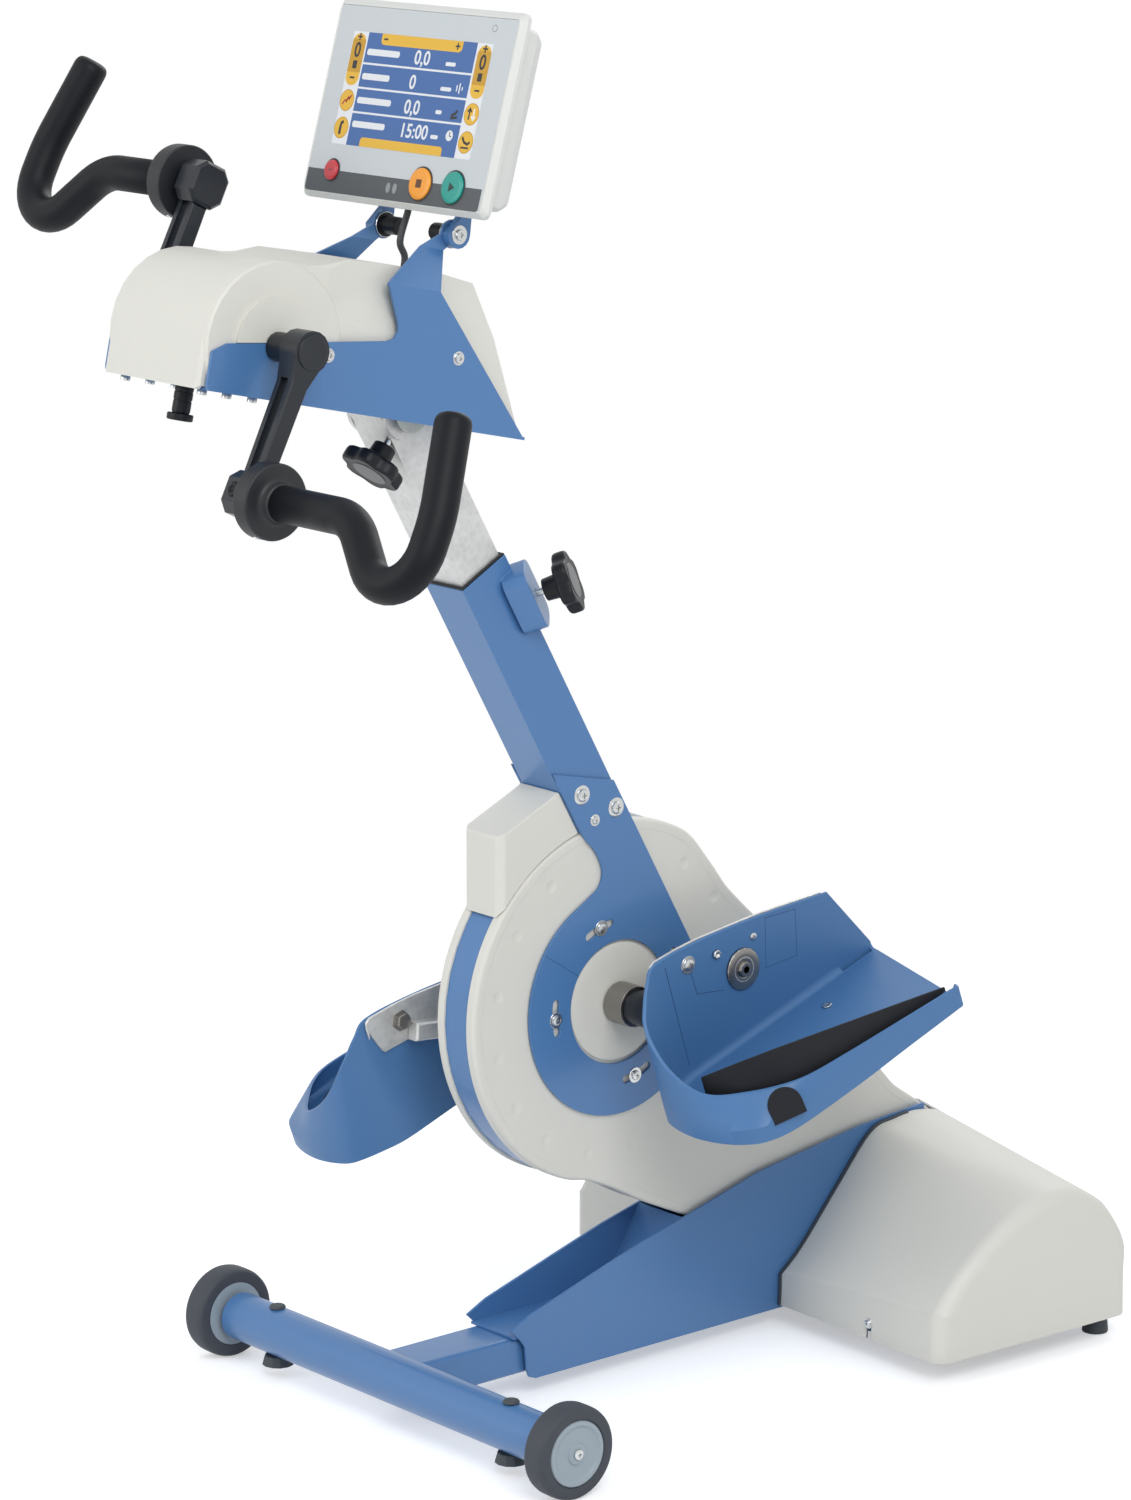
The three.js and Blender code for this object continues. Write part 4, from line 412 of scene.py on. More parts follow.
fine_edge = 0.0004


def turned(name, profile, place, material, body, sides=64, edge=0.0):
    """A piece turned about its group's X axis from points of place and radius. A profile may close on itself."""
    closed = profile[0] == profile[-1]
    rings = profile[:-1] if closed else profile
    points = [(across, *pair) for across, radius in rings for pair in ring_of(radius, sides)]
    piece = solid(name, set_at(place, points), rings_to_faces(len(rings), sides, closed), material, body)
    return soften(piece, edge)


def inside(point, loop):
    """Whether a flat point lies within a loop."""
    found = False
    for a, b in zip(loop, loop[1:] + loop[:1]):
        if (a[1] > point[1]) != (b[1] > point[1]):
            if point[0] < (b[0] - a[0]) * (point[1] - a[1]) / (b[1] - a[1]) + a[0]:
                found = not found
    return found


def between(loops):
    """Triangles, as places in the loops' joined list of points, between an outline and its holes."""
    flat, edges = [], []
    for loop in loops:
        first = len(flat)
        edges += [(first + k, first + (k + 1) % len(loop)) for k in range(len(loop))]
        flat += [Vector(point) for point in loop]
    made, _, faces, origins, _, _ = geometry.delaunay_2d_cdt(flat, edges, [], 1, 1e-6)
    kept = []
    for face in faces:
        middle = sum((made[k] for k in face), Vector((0, 0))) / len(face)
        if inside(middle, loops[0]) and not any(inside(middle, hole) for hole in loops[1:]):
            if all(origins[k] for k in face):
                kept.append(tuple(origins[k][0] for k in face))
    return kept


def cross_screw(name, place, radius, body, washer=0.0):
    """A cross-head screw whose X axis points out of the face that it holds, with a washer if it has one."""
    sides, corners = 24, 12
    head, depth, taper, lift = radius * 0.5, radius * 0.28, 0.8, 0.9 if washer else 0.0
    rings = [(0, radius), (head * 0.45, radius), (head * 0.8, radius * 0.9), (head, radius * 0.62)]
    if washer:
        rings = [(0, washer), (lift * 0.75, washer), (lift, washer * 0.97), (lift, radius),
                 (lift + head * 0.4, radius), (lift + head * 0.8, radius * 0.88), (lift + head, radius * 0.6)]
    points = [(out, *pair) for out, size in rings for pair in ring_of(size, sides)]
    faces = rings_to_faces(len(rings), sides, caps=False)
    faces.append(tuple(range(sides)))
    arm, half = radius * 0.46, radius * 0.11
    cross = [(half, half), (half, arm), (-half, arm), (-half, half), (-arm, half), (-arm, -half), (-half, -half),
             (-half, -arm), (half, -arm), (half, -half), (arm, -half), (arm, half)]
    top, rim, first = lift + head, (len(rings) - 1) * sides, len(points)
    points += [(top, y, z) for y, z in cross]
    points += [(top - depth, y * taper, z * taper) for y, z in cross]
    loops = [[Vector(point[1:]) for point in points[rim:first]], [Vector(pair) for pair in cross]]
    for triangle in between(loops):
        faces.append(tuple(rim + k if k < sides else first + k - sides for k in triangle))
    faces += strips(first, first + corners, corners)
    faces.append(tuple(first + corners + k for k in range(corners)))
    piece = solid(name, set_at(place, points), faces, bright_zinc, body)
    piece.data.set_sharp_from_angle(angle=math.radians(38))


for side, flip in mirror.items():
    tyre = turned(side + "_front_tyre", tyre_profile, flip @ wheel_place, tyre_rubber, side + "_wheel", 72, fine_edge)
    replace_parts(tyre, side + "_tyre")
    wheel_hub = turned(side + "_front_hub", hub_profile, flip @ wheel_place, hub_grey, side + "_wheel", 72, fine_edge)
    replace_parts(wheel_hub, side + "_wheel_hub")
    turned(side + "_hub_collar", collar_profile, flip @ wheel_place, hub_grey, side + "_wheel", 48, fine_edge)
    cross_screw(side + "_hub_screw", flip @ wheel_place @ step(288.2, 0, 0), 5.6, side + "_wheel")
    dress(side + "_front_buffer", buffer_rubber, 0.0008)
    dress(side + "_rear_foot", buffer_rubber, 0.0008)

# Rear hood: one beige moulding with soft edges, open below. A slot in its front edge takes a screw into the
# frame on each side, and a dark rubber lip seals it against the folded channel.
cover_beige = finish("cover_beige", (220, 218, 209), 0.5, drift=0.015, grain=1700, depth=0.2)
# Each row is the outline's place and height at the hood's middle and the same two at its ends, in shares of the
# hood's depth and height
hood_shares = [
    (0.03, 0, 0, 0), (0.0335, 0.086, 0, 0.086), (0.035, 0.172, 0, 0.269), (0.14, 0.29, 0.12, 0.49),
    (0.33, 0.62, 0.306, 0.694), (0.5, 0.909, 0.45, 0.79), (0.62, 0.958, 0.576, 0.839), (0.76, 0.977, 0.7, 0.812),
    (0.9, 0.93, 0.82, 0.715), (0.965, 0.78, 0.889, 0.629), (0.99, 0.6, 0.971, 0.435), (1, 0.3, 0.975, 0.25),
    (1, 0, 0.978, 0)]
hood_front, hood_depth, hood_foot, hood_height, hood_half, hood_round, hood_flare = 490, 278, 24, 186, 289, 17, 11
hood_steps, tray_opening, screw_slot = 5, 38.4, (176, 184)


def polar(radius, degrees):
    """A flat point at a distance from the middle, turned anticlockwise."""
    return radius * math.cos(math.radians(degrees)), radius * math.sin(math.radians(degrees))


def hood_profile(share, inwards=0.0):
    """The hood's outline in Y and Z from its front foot to its rear foot, at a share of its half width."""
    spots = [Vector((hood_front + hood_depth * (a + (c - a) * share), hood_foot + hood_height * (b + (d - b) * share)))
             for a, b, c, d in hood_shares]
    path = spots[:2] + spline(spots[2:-1], hood_steps) + spots[-1:]
    moved = []
    for k, here in enumerate(path):
        heading = heading_at(path, k)
        moved.append(here + Vector((heading.y, -heading.x)) * inwards)
    moved[0].y = moved[-1].y = hood_foot
    return moved


def hood_skin():
    """Rings of the outer skin from one end to the other, with rounded ends, and their faces but for the slots."""
    stations = [(0, 0)] + [(x, 0) for x in (19, tray_opening, 75, 125, *screw_slot, 230)]
    for a, b in (polar(hood_round, turn) for turn in (0, 15, 30, 45, 60, 75, 88)):
        stations.append((hood_half - hood_round + b, hood_round - a))
    stations = [(-x, inwards) for x, inwards in stations[:0:-1]] + stations
    points, faces = [], []
    for x, inwards in stations:
        for spot in hood_profile(min(1, abs(x) / hood_half), inwards):
            flare = hood_flare * (spot.x - hood_front) / hood_depth * x / hood_half
            points.append((x + flare, spot.x, spot.y))
    count = len(points) // len(stations)
    for i, ((x, _), (next_x, _)) in enumerate(zip(stations, stations[1:])):
        middle = abs(x + next_x) / 2
        opening = 2 + 6 * hood_steps if middle < tray_opening else int(screw_slot[0] < middle < screw_slot[1])
        faces += strips(i * count, (i + 1) * count, count, closed=False)[opening:]
    faces.append(tuple(range(count)))
    faces.append(tuple((len(stations) - 1) * count + k for k in range(count)))
    return points, faces


points, faces = hood_skin()
hood = solid("rear_hood", set_at(base_place, points), faces, cover_beige, "base")
shape = bmesh.new()
shape.from_mesh(hood.data)
bmesh.ops.delete(shape, geom=[vert for vert in shape.verts if not vert.link_faces], context="VERTS")
shape.to_mesh(hood.data)
shape.free()
wall = hood.modifiers.new("wall", "SOLIDIFY")
wall.thickness = 0.003
wall.offset = -1
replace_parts(soften(hood), "base_hood")
dress("mains_inlet", finish("inlet_black", (24, 26, 30), 0.5), 0.0008)
gasket_grey = finish("gasket_grey", (62, 70, 80), 0.7, grain=900, depth=0.2)
seal_share, seal_length, seal_inner, seal_outer = 0.13, 26, 37.3, 42.2
for side, flip in mirror.items():
    lip = []
    for outer, inner in list(zip(hood_profile(seal_share, -1.4), hood_profile(seal_share, 2.0)))[:seal_length]:
        lip += [(seal_inner, *outer), (seal_outer, *outer), (seal_outer, *inner), (seal_inner, *inner)]
    soften(solid(side + "_hood_seal", set_at(flip @ base_place, lip), rings_to_faces(seal_length, 4), gasket_grey,
                 "base"), 0.0006)
    cross_screw(side + "_hood_screw", flip @ base_place @ step(180, 493.2, 41.2) @ rotation(-90, "Z"), 4.2, "base",
                washer=5.6)

# Drum: two moulded half shells with a painted steel band between them, round the big pulley of the leg drive.
# Each shell has a rolled rim, a soft crease inside it, a ring of shallow dimples and a raised middle.
drum_place = place_at(37.15, 397.7)


def moved_in(loop, distance):
    """A loop moved to its left, which is inwards where it runs anticlockwise."""
    moved = []
    for k, here in enumerate(loop):
        here = Vector(here)
        first = (here - Vector(loop[k - 1])).normalized()
        second = (Vector(loop[(k + 1) % len(loop)]) - here).normalized()
        middle = (first + second).normalized()
        reach = distance / max(abs(middle.dot(first)), 0.5)
        moved.append((here.x - middle.y * reach, here.y + middle.x * reach))
    return moved


def eased(loop, spacing, rounds):
    """A loop with points at even spacing, softened a little where it turns."""
    path = []
    for k, here in enumerate(loop):
        ahead = Vector(loop[(k + 1) % len(loop)])
        here = Vector(here)
        steps = max(1, round((ahead - here).length / spacing))
        path += [here.lerp(ahead, step / steps) for step in range(steps)]
    for _ in range(rounds):
        path = [(path[k - 1] + 2 * path[k] + path[(k + 1) % len(path)]) / 4 for k in range(len(path))]
    return [tuple(point) for point in path]


drum_radius = 190
# The outline below and behind the drum's circle, in shares of its radius
belly = [(-0.208, -0.967), (-0.008, -1.056), (0.208, -1.177), (0.539, -1.33), (0.62, -1.377)]
tail = [(0.56, 0.815), (0.724, 0.612), (0.797, 0.512), (0.934, 0.38), (1.045, 0.28), (2.103, -0.872),
        (2.224, -0.951), (2.413, -1.083), (2.413, -1.377)]
drum_outline = eased([polar(drum_radius, 60 + 192 * k / 60) for k in range(61)]
                     + [(drum_radius * y, drum_radius * z) for y, z in belly + tail[::-1]], 5.0, 3)
dimple_circle, dimple_radius, dimple_sides = 160, 7.5, 18
dimple_spots = [polar(dimple_circle, turn) for turn in (54.5, 33.2, 122.8, 145.8, 168.9, -168.1, -146.5, -126, -103.6,
                                                        -81.8)]
shaft_hole, shaft_sides, roll_radius, rim_face = 11.6, 20, 4, 29.7
outer_face, outer_inset, inner_face, inner_inset = 29.1, 11.8, 26.2, 3.2


def dimpled_shell(name, place, material, body):
    """A hollow half shell with a rolled rim, an inner crease, shallow dimples and a hole for the shaft."""
    roll = [(rim_face - roll_radius + b, roll_radius - a)
            for a, b in (polar(roll_radius, turn) for turn in (0, 22, 45, 68, 90))]
    skin = [(inner_face, inner_inset), (17.6, inner_inset), (17.6, 0.5), (18.1, 0), *roll, (rim_face, 9.5),
            (29.45, 10.8), (outer_face, outer_inset)]
    points = [(across, y, z) for across, inwards in skin for y, z in moved_in(drum_outline, inwards)]
    count = len(drum_outline)
    faces = rings_to_faces(len(skin), count, caps=False)
    hole = ring_of(shaft_hole, shaft_sides)[::-1]
    pits = [ring_of(dimple_radius, dimple_sides, *spot)[::-1] for spot in dimple_spots]
    starts = []
    for across, inwards, first, holes in ((outer_face, outer_inset, (len(skin) - 1) * count, [hole, *pits]),
                                          (inner_face, inner_inset, 0, [hole])):
        starts.append(len(points))
        points += [(across, y, z) for loop in holes for y, z in loop]
        for triangle in between([moved_in(drum_outline, inwards), *holes]):
            faces.append(tuple(first + k if k < count else starts[-1] + k - count for k in triangle))
    faces += strips(starts[1], starts[0], shaft_sides)
    for number, spot in enumerate(dimple_spots):
        edge = starts[0] + shaft_sides + dimple_sides * number
        for radius, depth in ((6.2, 0.25), (4.2, 0.75), (1.8, 1.1)):
            ring = len(points)
            points += [(outer_face - depth, *pair) for pair in ring_of(radius, dimple_sides, *spot)[::-1]]
            faces += strips(edge, ring, dimple_sides)
            edge = ring
        faces.append(tuple(edge + k for k in range(dimple_sides)))
    piece = solid(name, set_at(place, points), faces, material, body)
    piece.data.set_sharp_from_angle(angle=math.radians(60))
    return soften(piece)


middle_profile = [(28.9, shaft_hole), (28.9, 60.5), (29.6, 62.3), (30.3, 62.2), (31.1, 60.4), (31.7, 55), (31.95, 42),
                  (32, 24), (32, shaft_hole), (28.9, shaft_hole)]
for side, flip in mirror.items():
    shell = dimpled_shell(side + "_drum_shell", flip @ drum_place, cover_beige, "base")
    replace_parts(shell, side + "_housing_shell")
    turned(side + "_drum_middle", middle_profile, flip @ drum_place, cover_beige, "base", 72, fine_edge)
dress("drum_band", frame_blue, 0.0003)

# Side plates: laser-cut steel rings welded to the strip that carries the column, painted with the frame.
# Screws in four curved slots and three more at the top hold each one to the drum and to the column.


def prism(name, place, outline, low, high, material, body, axis=0):
    """A flat piece with sharp edges: an outline between two places along an axis, in a group's own directions."""
    points = [(*corner[:axis], level, *corner[axis:]) for level in (low, high) for corner in outline]
    return solid(name, set_at(place, points), rings_to_faces(2, len(outline)), material, body, smooth=False)


def flat_plate(name, outline, holes, low, high, edge, place, material, body):
    """A plate cut to an outline in Y and Z with holes, between two places across, its edges rounded."""
    loops = [outline] + [hole[::-1] for hole in holes]
    layers = [(low, edge), (low + edge * 0.3, edge * 0.3), (low + edge, 0), (high - edge, 0),
              (high - edge * 0.3, edge * 0.3), (high, edge)]
    count = sum(len(loop) for loop in loops)
    points, faces, ends = [], [], []
    for layer, (across, inwards) in enumerate(layers):
        inset = [moved_in(loop, inwards) for loop in loops]
        start = len(points)
        points += [(across, y, z) for loop in inset for y, z in loop]
        for loop in loops if layer else ():
            faces += strips(start - count, start, len(loop))
            start += len(loop)
        if layer in (0, len(layers) - 1):
            ends += [tuple(layer * count + k for k in triangle) for triangle in between(inset)]
    return soften(solid(name, set_at(place, points), faces + ends, material, body))


column_lean, column_set = 29.4, 77.3
plate_inner, plate_outer, neck_radius, ring_radius, slot_circle = 30.0, 33.3, 109.4, 119.5, 85


def on_column(across, along):
    """A point of the leaning column, in the drum's own directions."""
    lean = math.radians(column_lean)
    return (math.cos(lean) * (column_set + across) - math.sin(lean) * along,
            math.sin(lean) * (column_set + across) + math.cos(lean) * along)


ring_edge = []
for k in range(61):
    turn = column_lean - (column_lean + 240) * k / 60
    ease = min(1, max(0, (column_lean - turn) / 50))
    ring_edge.append(polar(neck_radius + (ring_radius - neck_radius) * ease * ease * (3 - 2 * ease), turn))
neck = [Vector((ring_radius * y, ring_radius * z)) for y, z in (
    (-0.33, 0.965), (-0.215, 1.05), (-0.185, 1.18), (-0.255, 1.345), (-0.39, 1.5))]
neck = [Vector(ring_edge[-1])] + neck + [Vector(on_column(-31, 200))]
plate_edge = ring_edge[:-1] + [tuple(point) for point in spline(neck, 6)][:-1] + [
    on_column(-31, 238), on_column(-31, 262), on_column(31, 207)]


def slot_outline(middle, half=4.2, spread=10.5):
    """A curved slot with round ends, about the drum's axis."""
    turns = [middle - spread + 2 * spread * k / 8 for k in range(9)]
    points = [polar(slot_circle + half, turn) for turn in turns]
    for end, start in ((middle + spread, 0), (middle - spread, 180)):
        y, z = polar(slot_circle, end)
        cap = [polar(half, end + start + a) for a in (30, 60, 90, 120, 150)]
        points += [(y + a, z + b) for a, b in cap]
        if end > middle:
            points += [polar(slot_circle - half, turn) for turn in turns[::-1]]
    return points


slot_middles, slot_screw_turns = (108, 182, 287, 18), (106.5, 183, 285, 18)
strip_screws = ((-50.5, 224.3, 6.6), (-5.0, 204.9, 6.6), (-33.1, 195.7, 4.0))
plate_holes = [ring_of(65, 72)] + [slot_outline(middle) for middle in slot_middles]
seam_dark = finish("seam_dark", (52, 88, 130), 0.5)
seam_turn = 146.5
seam_ends = [Vector(polar(distance, seam_turn)) for distance in (65.3, 119.2)]
seam_half = Vector(polar(0.35, seam_turn + 90))
weld = [tuple(seam_ends[end] + seam_half * side) for end, side in ((0, -1), (1, -1), (1, 1), (0, 1))]
for side, flip in mirror.items():
    plate_place = flip @ drum_place
    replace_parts(flat_plate(side + "_plate", plate_edge[::-1], plate_holes, plate_inner, plate_outer, 0.5, plate_place,
                           frame_blue, "base"), side + "_side_plate")
    prism(side + "_plate_seam", plate_place, weld, 33.0, 33.36, seam_dark, "base")
    for number, turn in enumerate(slot_screw_turns):
        cross_screw(f"{side}_slot_screw_{number + 1}", plate_place @ step(plate_outer, *polar(slot_circle, turn)), 5.2,
                    "base", washer=8.2)
    for number, (y, z, size) in enumerate(strip_screws):
        cross_screw(f"{side}_strip_screw_{number + 1}", plate_place @ step(plate_outer, y, z), size, "base",
                    washer=size * 1.55)

# Leg drive inside the drum: a turned shaft on two ball bearings, with steel collars outside, a cast pulley,
# a belt and a flat motor.
turned_steel = finish("turned_steel", (150, 147, 143), 0.3, metal=1.0, grain=600, depth=0.08)
cast_iron = finish("cast_iron", (108, 110, 112), 0.55, metal=0.8, depth=0.4, grain=500)
for name in ("crank_shaft", "right_bearing", "left_bearing", "right_pedal_pin", "left_pedal_pin"):
    dress(name, turned_steel)
for name in ("drive_pulley", "motor_pulley", "leg_motor", "arm_motor"):
    dress(name, cast_iron)
dress("drive_belt", finish("belt_rubber", (40, 40, 42), 0.8))

# Column: a nose cap moulded to the drum in front, the square outer tube, a plastic guide in its mouth and the
# galvanised mast that slides in it.
column_place = drum_place @ step(0, *polar(column_set, column_lean)) @ rotation(column_lean, "X")
moulded_black = finish("moulded_black", (14, 17, 23), 0.44, grain=1200, depth=0.15, specular=0.3)
nose_outline = [(-148, 120.1), (-148, 198.4), (-88.4, 225.2), (-77.2, 230.8), (-50.7, 183.7)]
nose_outline += [polar(190.6, 105.4 + 36.3 * k / 12) for k in range(1, 12)]
count = len(nose_outline)
front = 2 * count
nose_half, front_half, nose_front = 29.7, 22.7, -155
points = [(x, y, z) for x in (nose_half, -nose_half) for y, z in nose_outline]
points += [(x, nose_front, z) for x in (front_half, -front_half) for z in (110.9, 195.3)]
faces = [tuple(range(count)), tuple(range(count, front))] + strips(0, count, count, closed=False)[2:]
faces += [(front, front + 1, front + 3, front + 2), (front, front + 1, 1, 0),
          (front + 2, front + 3, count + 1, count), (front + 1, 1, 2, count + 2, count + 1, front + 3),
          (front, 0, count - 1, front - 1, count, front + 2)]
nose = solid("nose_cover", set_at(drum_place, points), faces, cover_beige, "base")
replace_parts(soften(nose, 0.002, 3, 14), "nose_cap")
dress("outer_column", frame_blue, 0.0022, 30, 3)
dress("column_guide", moulded_black, 0.0005)

# Bright zinc: the faint patchwork of its crystals, lighter and darker, with a little more gloss in the dark ones
zinc_group, zinc_in, zinc_out = shader_group("zinc", [
    ("Tone", "NodeSocketColor", (0.6, 0.6, 0.6, 1)), ("Gloss", "NodeSocketFloat", 0.3)], [
    ("Color", "NodeSocketColor"), ("Roughness", "NodeSocketFloat")])
place = zinc_group.nodes.new("ShaderNodeTexCoord").outputs["Object"]
cloud = node_of(zinc_group, "ShaderNodeTexNoise", Vector=place, Scale=42.0, Detail=5.0, Roughness=0.6)
patches = node_of(zinc_group, "ShaderNodeTexVoronoi", Vector=place, Scale=150.0)
spread = math_of(zinc_group, "MULTIPLY_ADD", patches.outputs["Distance"], 0.35, cloud.outputs["Fac"])
lightness = node_of(zinc_group, "ShaderNodeValToRGB", Fac=spread)
lightness.color_ramp.elements[0].position = 0.35
lightness.color_ramp.elements[1].position = 0.85
darkest, range_up = 0.84, 0.24
shade = math_of(zinc_group, "MULTIPLY_ADD", lightness.outputs["Color"], range_up, darkest)
shaded = node_of(zinc_group, "ShaderNodeHueSaturation", Color=zinc_in["Tone"], Value=shade)
put(zinc_group, zinc_out["Color"], shaded.outputs["Color"])
put(zinc_group, zinc_out["Roughness"], math_of(zinc_group, "MULTIPLY_ADD", spread, 0.2, zinc_in["Gloss"]))


def zinc_finish(name, tone, gloss):
    """A galvanised finish, in a tone from 0 to 255."""
    return finish_from(zinc_group, name, (srgb(*tone), gloss), Metallic=0.55)


mast_zinc = zinc_finish("mast_zinc", (212, 212, 210), 0.28)
dress("inner_column", mast_zinc, 0.0012, 28, 3)

# Star knobs: black moulded heads with six soft lobes and a satin face, each on a waisted hub and a threaded
# stud. One clamps the mast's height, the other the tilt of the arm unit, whose hinge has a disc on each side.
knob_face = finish("knob_face", (38, 41, 46), 0.3, grain=900, depth=0.05)
knob_radius, knob_sides, lobes, lobe_depth, lobe_sharpness = 31.5, 120, 6, 0.16, 1.4
thread_radius, thread_root, thread_pitch, thread_start = 4.1, 3.6, 1.25, 31.6
# Each layer's height from the face and its share of the radius. The lobes fade out at hub_share.
hub_share = 0.35
knob_layers = [(0.9, 0.62), (0.35, 0.86), (0.0, 0.9), (0.4, 0.955), (1.9, 0.99), (4.5, 1.0), (10.5, 1.0),
               (13.2, 0.975), (14.6, 0.91), (15, 0.82)]
face_profile = [(0.25, 0), (0.25, 17.5), (1.0, 18.2), (2.0, 18.2), (2.0, 0)]
waist_profile = [(14.8, 0), (14.8, 14.5), (16.2, 13.3), (20, 12.2), (28, 11.6), (31.4, 11.4), (32, 10.6), (32, 0)]


def star_knob(name, place, body, stud_length):
    """A six-lobed knob whose Z axis runs from its face to the end of its stud, in place of the node of its name."""
    points = []
    for height, share in knob_layers:
        for k in range(knob_sides):
            turn = 360 * k / knob_sides
            wave = ((1 - math.cos(math.radians(lobes * turn))) / 2) ** lobe_sharpness
            dip = lobe_depth * (share - hub_share) / (1 - hub_share) * wave
            points.append((*polar(knob_radius * share * (1 - dip), turn), height))
    faces = rings_to_faces(len(knob_layers), knob_sides)
    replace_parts(soften(solid(name + "_head", set_at(place, points), faces, moulded_black, body)), name)
    aside = place @ rotation(-90, "Y")
    turned(name + "_face", face_profile, aside, knob_face, body, edge=fine_edge)
    turned(name + "_hub", waist_profile, aside, moulded_black, body, 48, fine_edge)
    thread = [(31, 0), (31, thread_radius)]
    crest, tip = thread_start, 32 + stud_length
    while crest < tip - 1:
        thread += [(crest, thread_radius), (crest + 0.6, thread_root)]
        crest += thread_pitch
    turned(name + "_stud", thread + [(tip, 3.4), (tip, 0)], aside, bright_zinc, body, 32)


# The height knob stands out of the column's rear right corner, half way between its rear and its side
root_half = math.sqrt(0.5)
corner_turn = Matrix(((-root_half, 0, root_half, 0), (root_half, 0, root_half, 0), (0, 1, 0, 0), (0, 0, 0, 1)))
star_knob("height_knob", column_place @ step(29.7, 31, 439.2) @ corner_turn @ step(0, 0, 52.8) @ rotation(180, "X"),
          "height_clamp", 24)
star_knob("tilt_knob", column_place @ step(20, -63.1, 655.3) @ rotation(-69.3, "X"), "tilt_clamp", 18)
hinge_grey = zinc_finish("hinge_grey", (188, 192, 186), 0.4)
hinge_profile = [(36.9, 0), (36.9, 19.5), (37.3, 20), (38.2, 20), (38.7, 19.4), (38.9, 18), (38.9, 0)]
for side, flip in mirror.items():
    turned(side + "_hinge_disc", hinge_profile, flip @ place_at(-231.97, 1032.78, 29.4), hinge_grey, "mast")

# Arm unit: a frame folded from painted steel plate with a moulded cover over its motor. Washered screws hold the
# cover on each side, and bolts through the frame's floor hold the motor.
dress("head_frame", frame_blue, 0.0008)
dress("head_hood", cover_beige, 0.003, 24, 4)
down = rotation(90, "Y")
cover_face, frame_floor = 80.3, -50.4
bolt_profile = [(-0.5, 0), (-0.5, 4.7), (4.4, 4.7), (5.0, 4.2), (5.1, 2.8), (4.2, 2.5), (4.2, 0)]
plunger_profile = [(-8, 0), (-8, 4), (0.2, 4), (0.2, 8.1), (1.1, 9), (5, 9), (5.3, 8.5), (6.1, 8.5), (6.4, 9), (13, 9),
                   (13.5, 8.3), (14.3, 8.3), (14.8, 8.8), (24.3, 8.8), (25.3, 8.2), (26.3, 8.2), (26.3, 11.7),
                   (27.1, 12.5), (31.9, 12.5), (32.9, 11.6), (33.2, 9.4), (32.9, 8.6), (32.9, 0)]
for side, flip in mirror.items():
    for number, (y, z) in enumerate(((61.7, -0.5), (218.7, 17.0))):
        cross_screw(f"{side}_cover_screw_{number + 1}", flip @ head_at @ step(cover_face, y, z), 5.0, "head",
                    washer=6.9)
    for number, y in enumerate((-62, -33, -3)):
        turned(f"{side}_motor_bolt_{number + 1}", bolt_profile, flip @ head_at @ step(60, y, frame_floor) @ down,
               bright_zinc, "head", 24)
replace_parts(turned("plunger_knob", plunger_profile, head_at @ step(0, -37, frame_floor) @ down, moulded_black,
                   "plunger", 48), "index_plunger")
dress("arm_shaft", finish("shaft_black", (30, 33, 38), 0.4, metal=0.2))

# Arm cranks: forged steel arms under black paint, half a turn apart. A round cap covers the shaft's end, and a
# socket screw in the side of the lower block clamps the handle's pin.
crank_black = finish("crank_black", (26, 31, 38), 0.36, grain=700, depth=0.1, coat=0.2, specular=0.35)
cap_profile = [(133.5, 0), (133.5, 16.4), (134.4, 16.8), (135.2, 16.2), (135.3, 15.2), (134.9, 14.4), (134.9, 0)]
screw_profile = [(-1, 0), (-1, 7.4), (0.4, 7.4), (1.6, 6.9), (2.2, 5.6), (2.3, 3.5), (0.6, 3.3), (0.6, 0)]
for side, turn in (("right", -116.4), ("left", 63.6)):
    dress(side + "_arm_crank", crank_black, 0.0014, 26, 3)
    crank_at = mirror[side] @ place_at(-426.91, 1119.76, turn)
    turned(side + "_crank_cap", cap_profile, crank_at, crank_black, "arm_cranks", 48)
    turned(side + "_clamp_screw", screw_profile, crank_at @ step(120.5, 143.9, -21) @ down, moulded_black,
           "arm_cranks", 32)

# Handles: a steel tube bent twice and covered with smooth dark foam, closed at its end, on a moulded disc that
# turns on the crank's pin. A small screw in the disc's edge holds the tube.
grip_foam = finish("grip_foam", (10, 13, 19), 0.5, drift=0.03, grain=1300, depth=0.18, specular=0.22)
disc_black = finish("disc_black", (22, 25, 30), 0.5, grain=900, depth=0.08)


def bent_path(corners, steps):
    """A path in X and Z whose inner corners, each (x, z, radius), are rounded."""
    path = [Vector(corners[0])]
    for before, (x, z, radius), after in zip(corners, corners[1:], corners[2:]):
        spot = Vector((x, z))
        back, ahead = (Vector(before[:2]) - spot).normalized(), (Vector(after[:2]) - spot).normalized()
        half = back.angle(ahead) / 2
        centre = spot + (back + ahead).normalized() * radius / math.sin(half)
        start = spot + back * radius / math.tan(half) - centre
        end = spot + ahead * radius / math.tan(half) - centre
        sweep = start.angle_signed(end)
        path += [centre + Matrix.Rotation(-sweep * k / steps, 2) @ start for k in range(steps + 1)]
    path.append(Vector(corners[-1]))
    return path


grip_route = bent_path([(158, 0), (275, 0, 56), (389, -110.5, 40), (384.6, 18, 140), (362, 100.4)], 14)
grip_radius = 0.01725
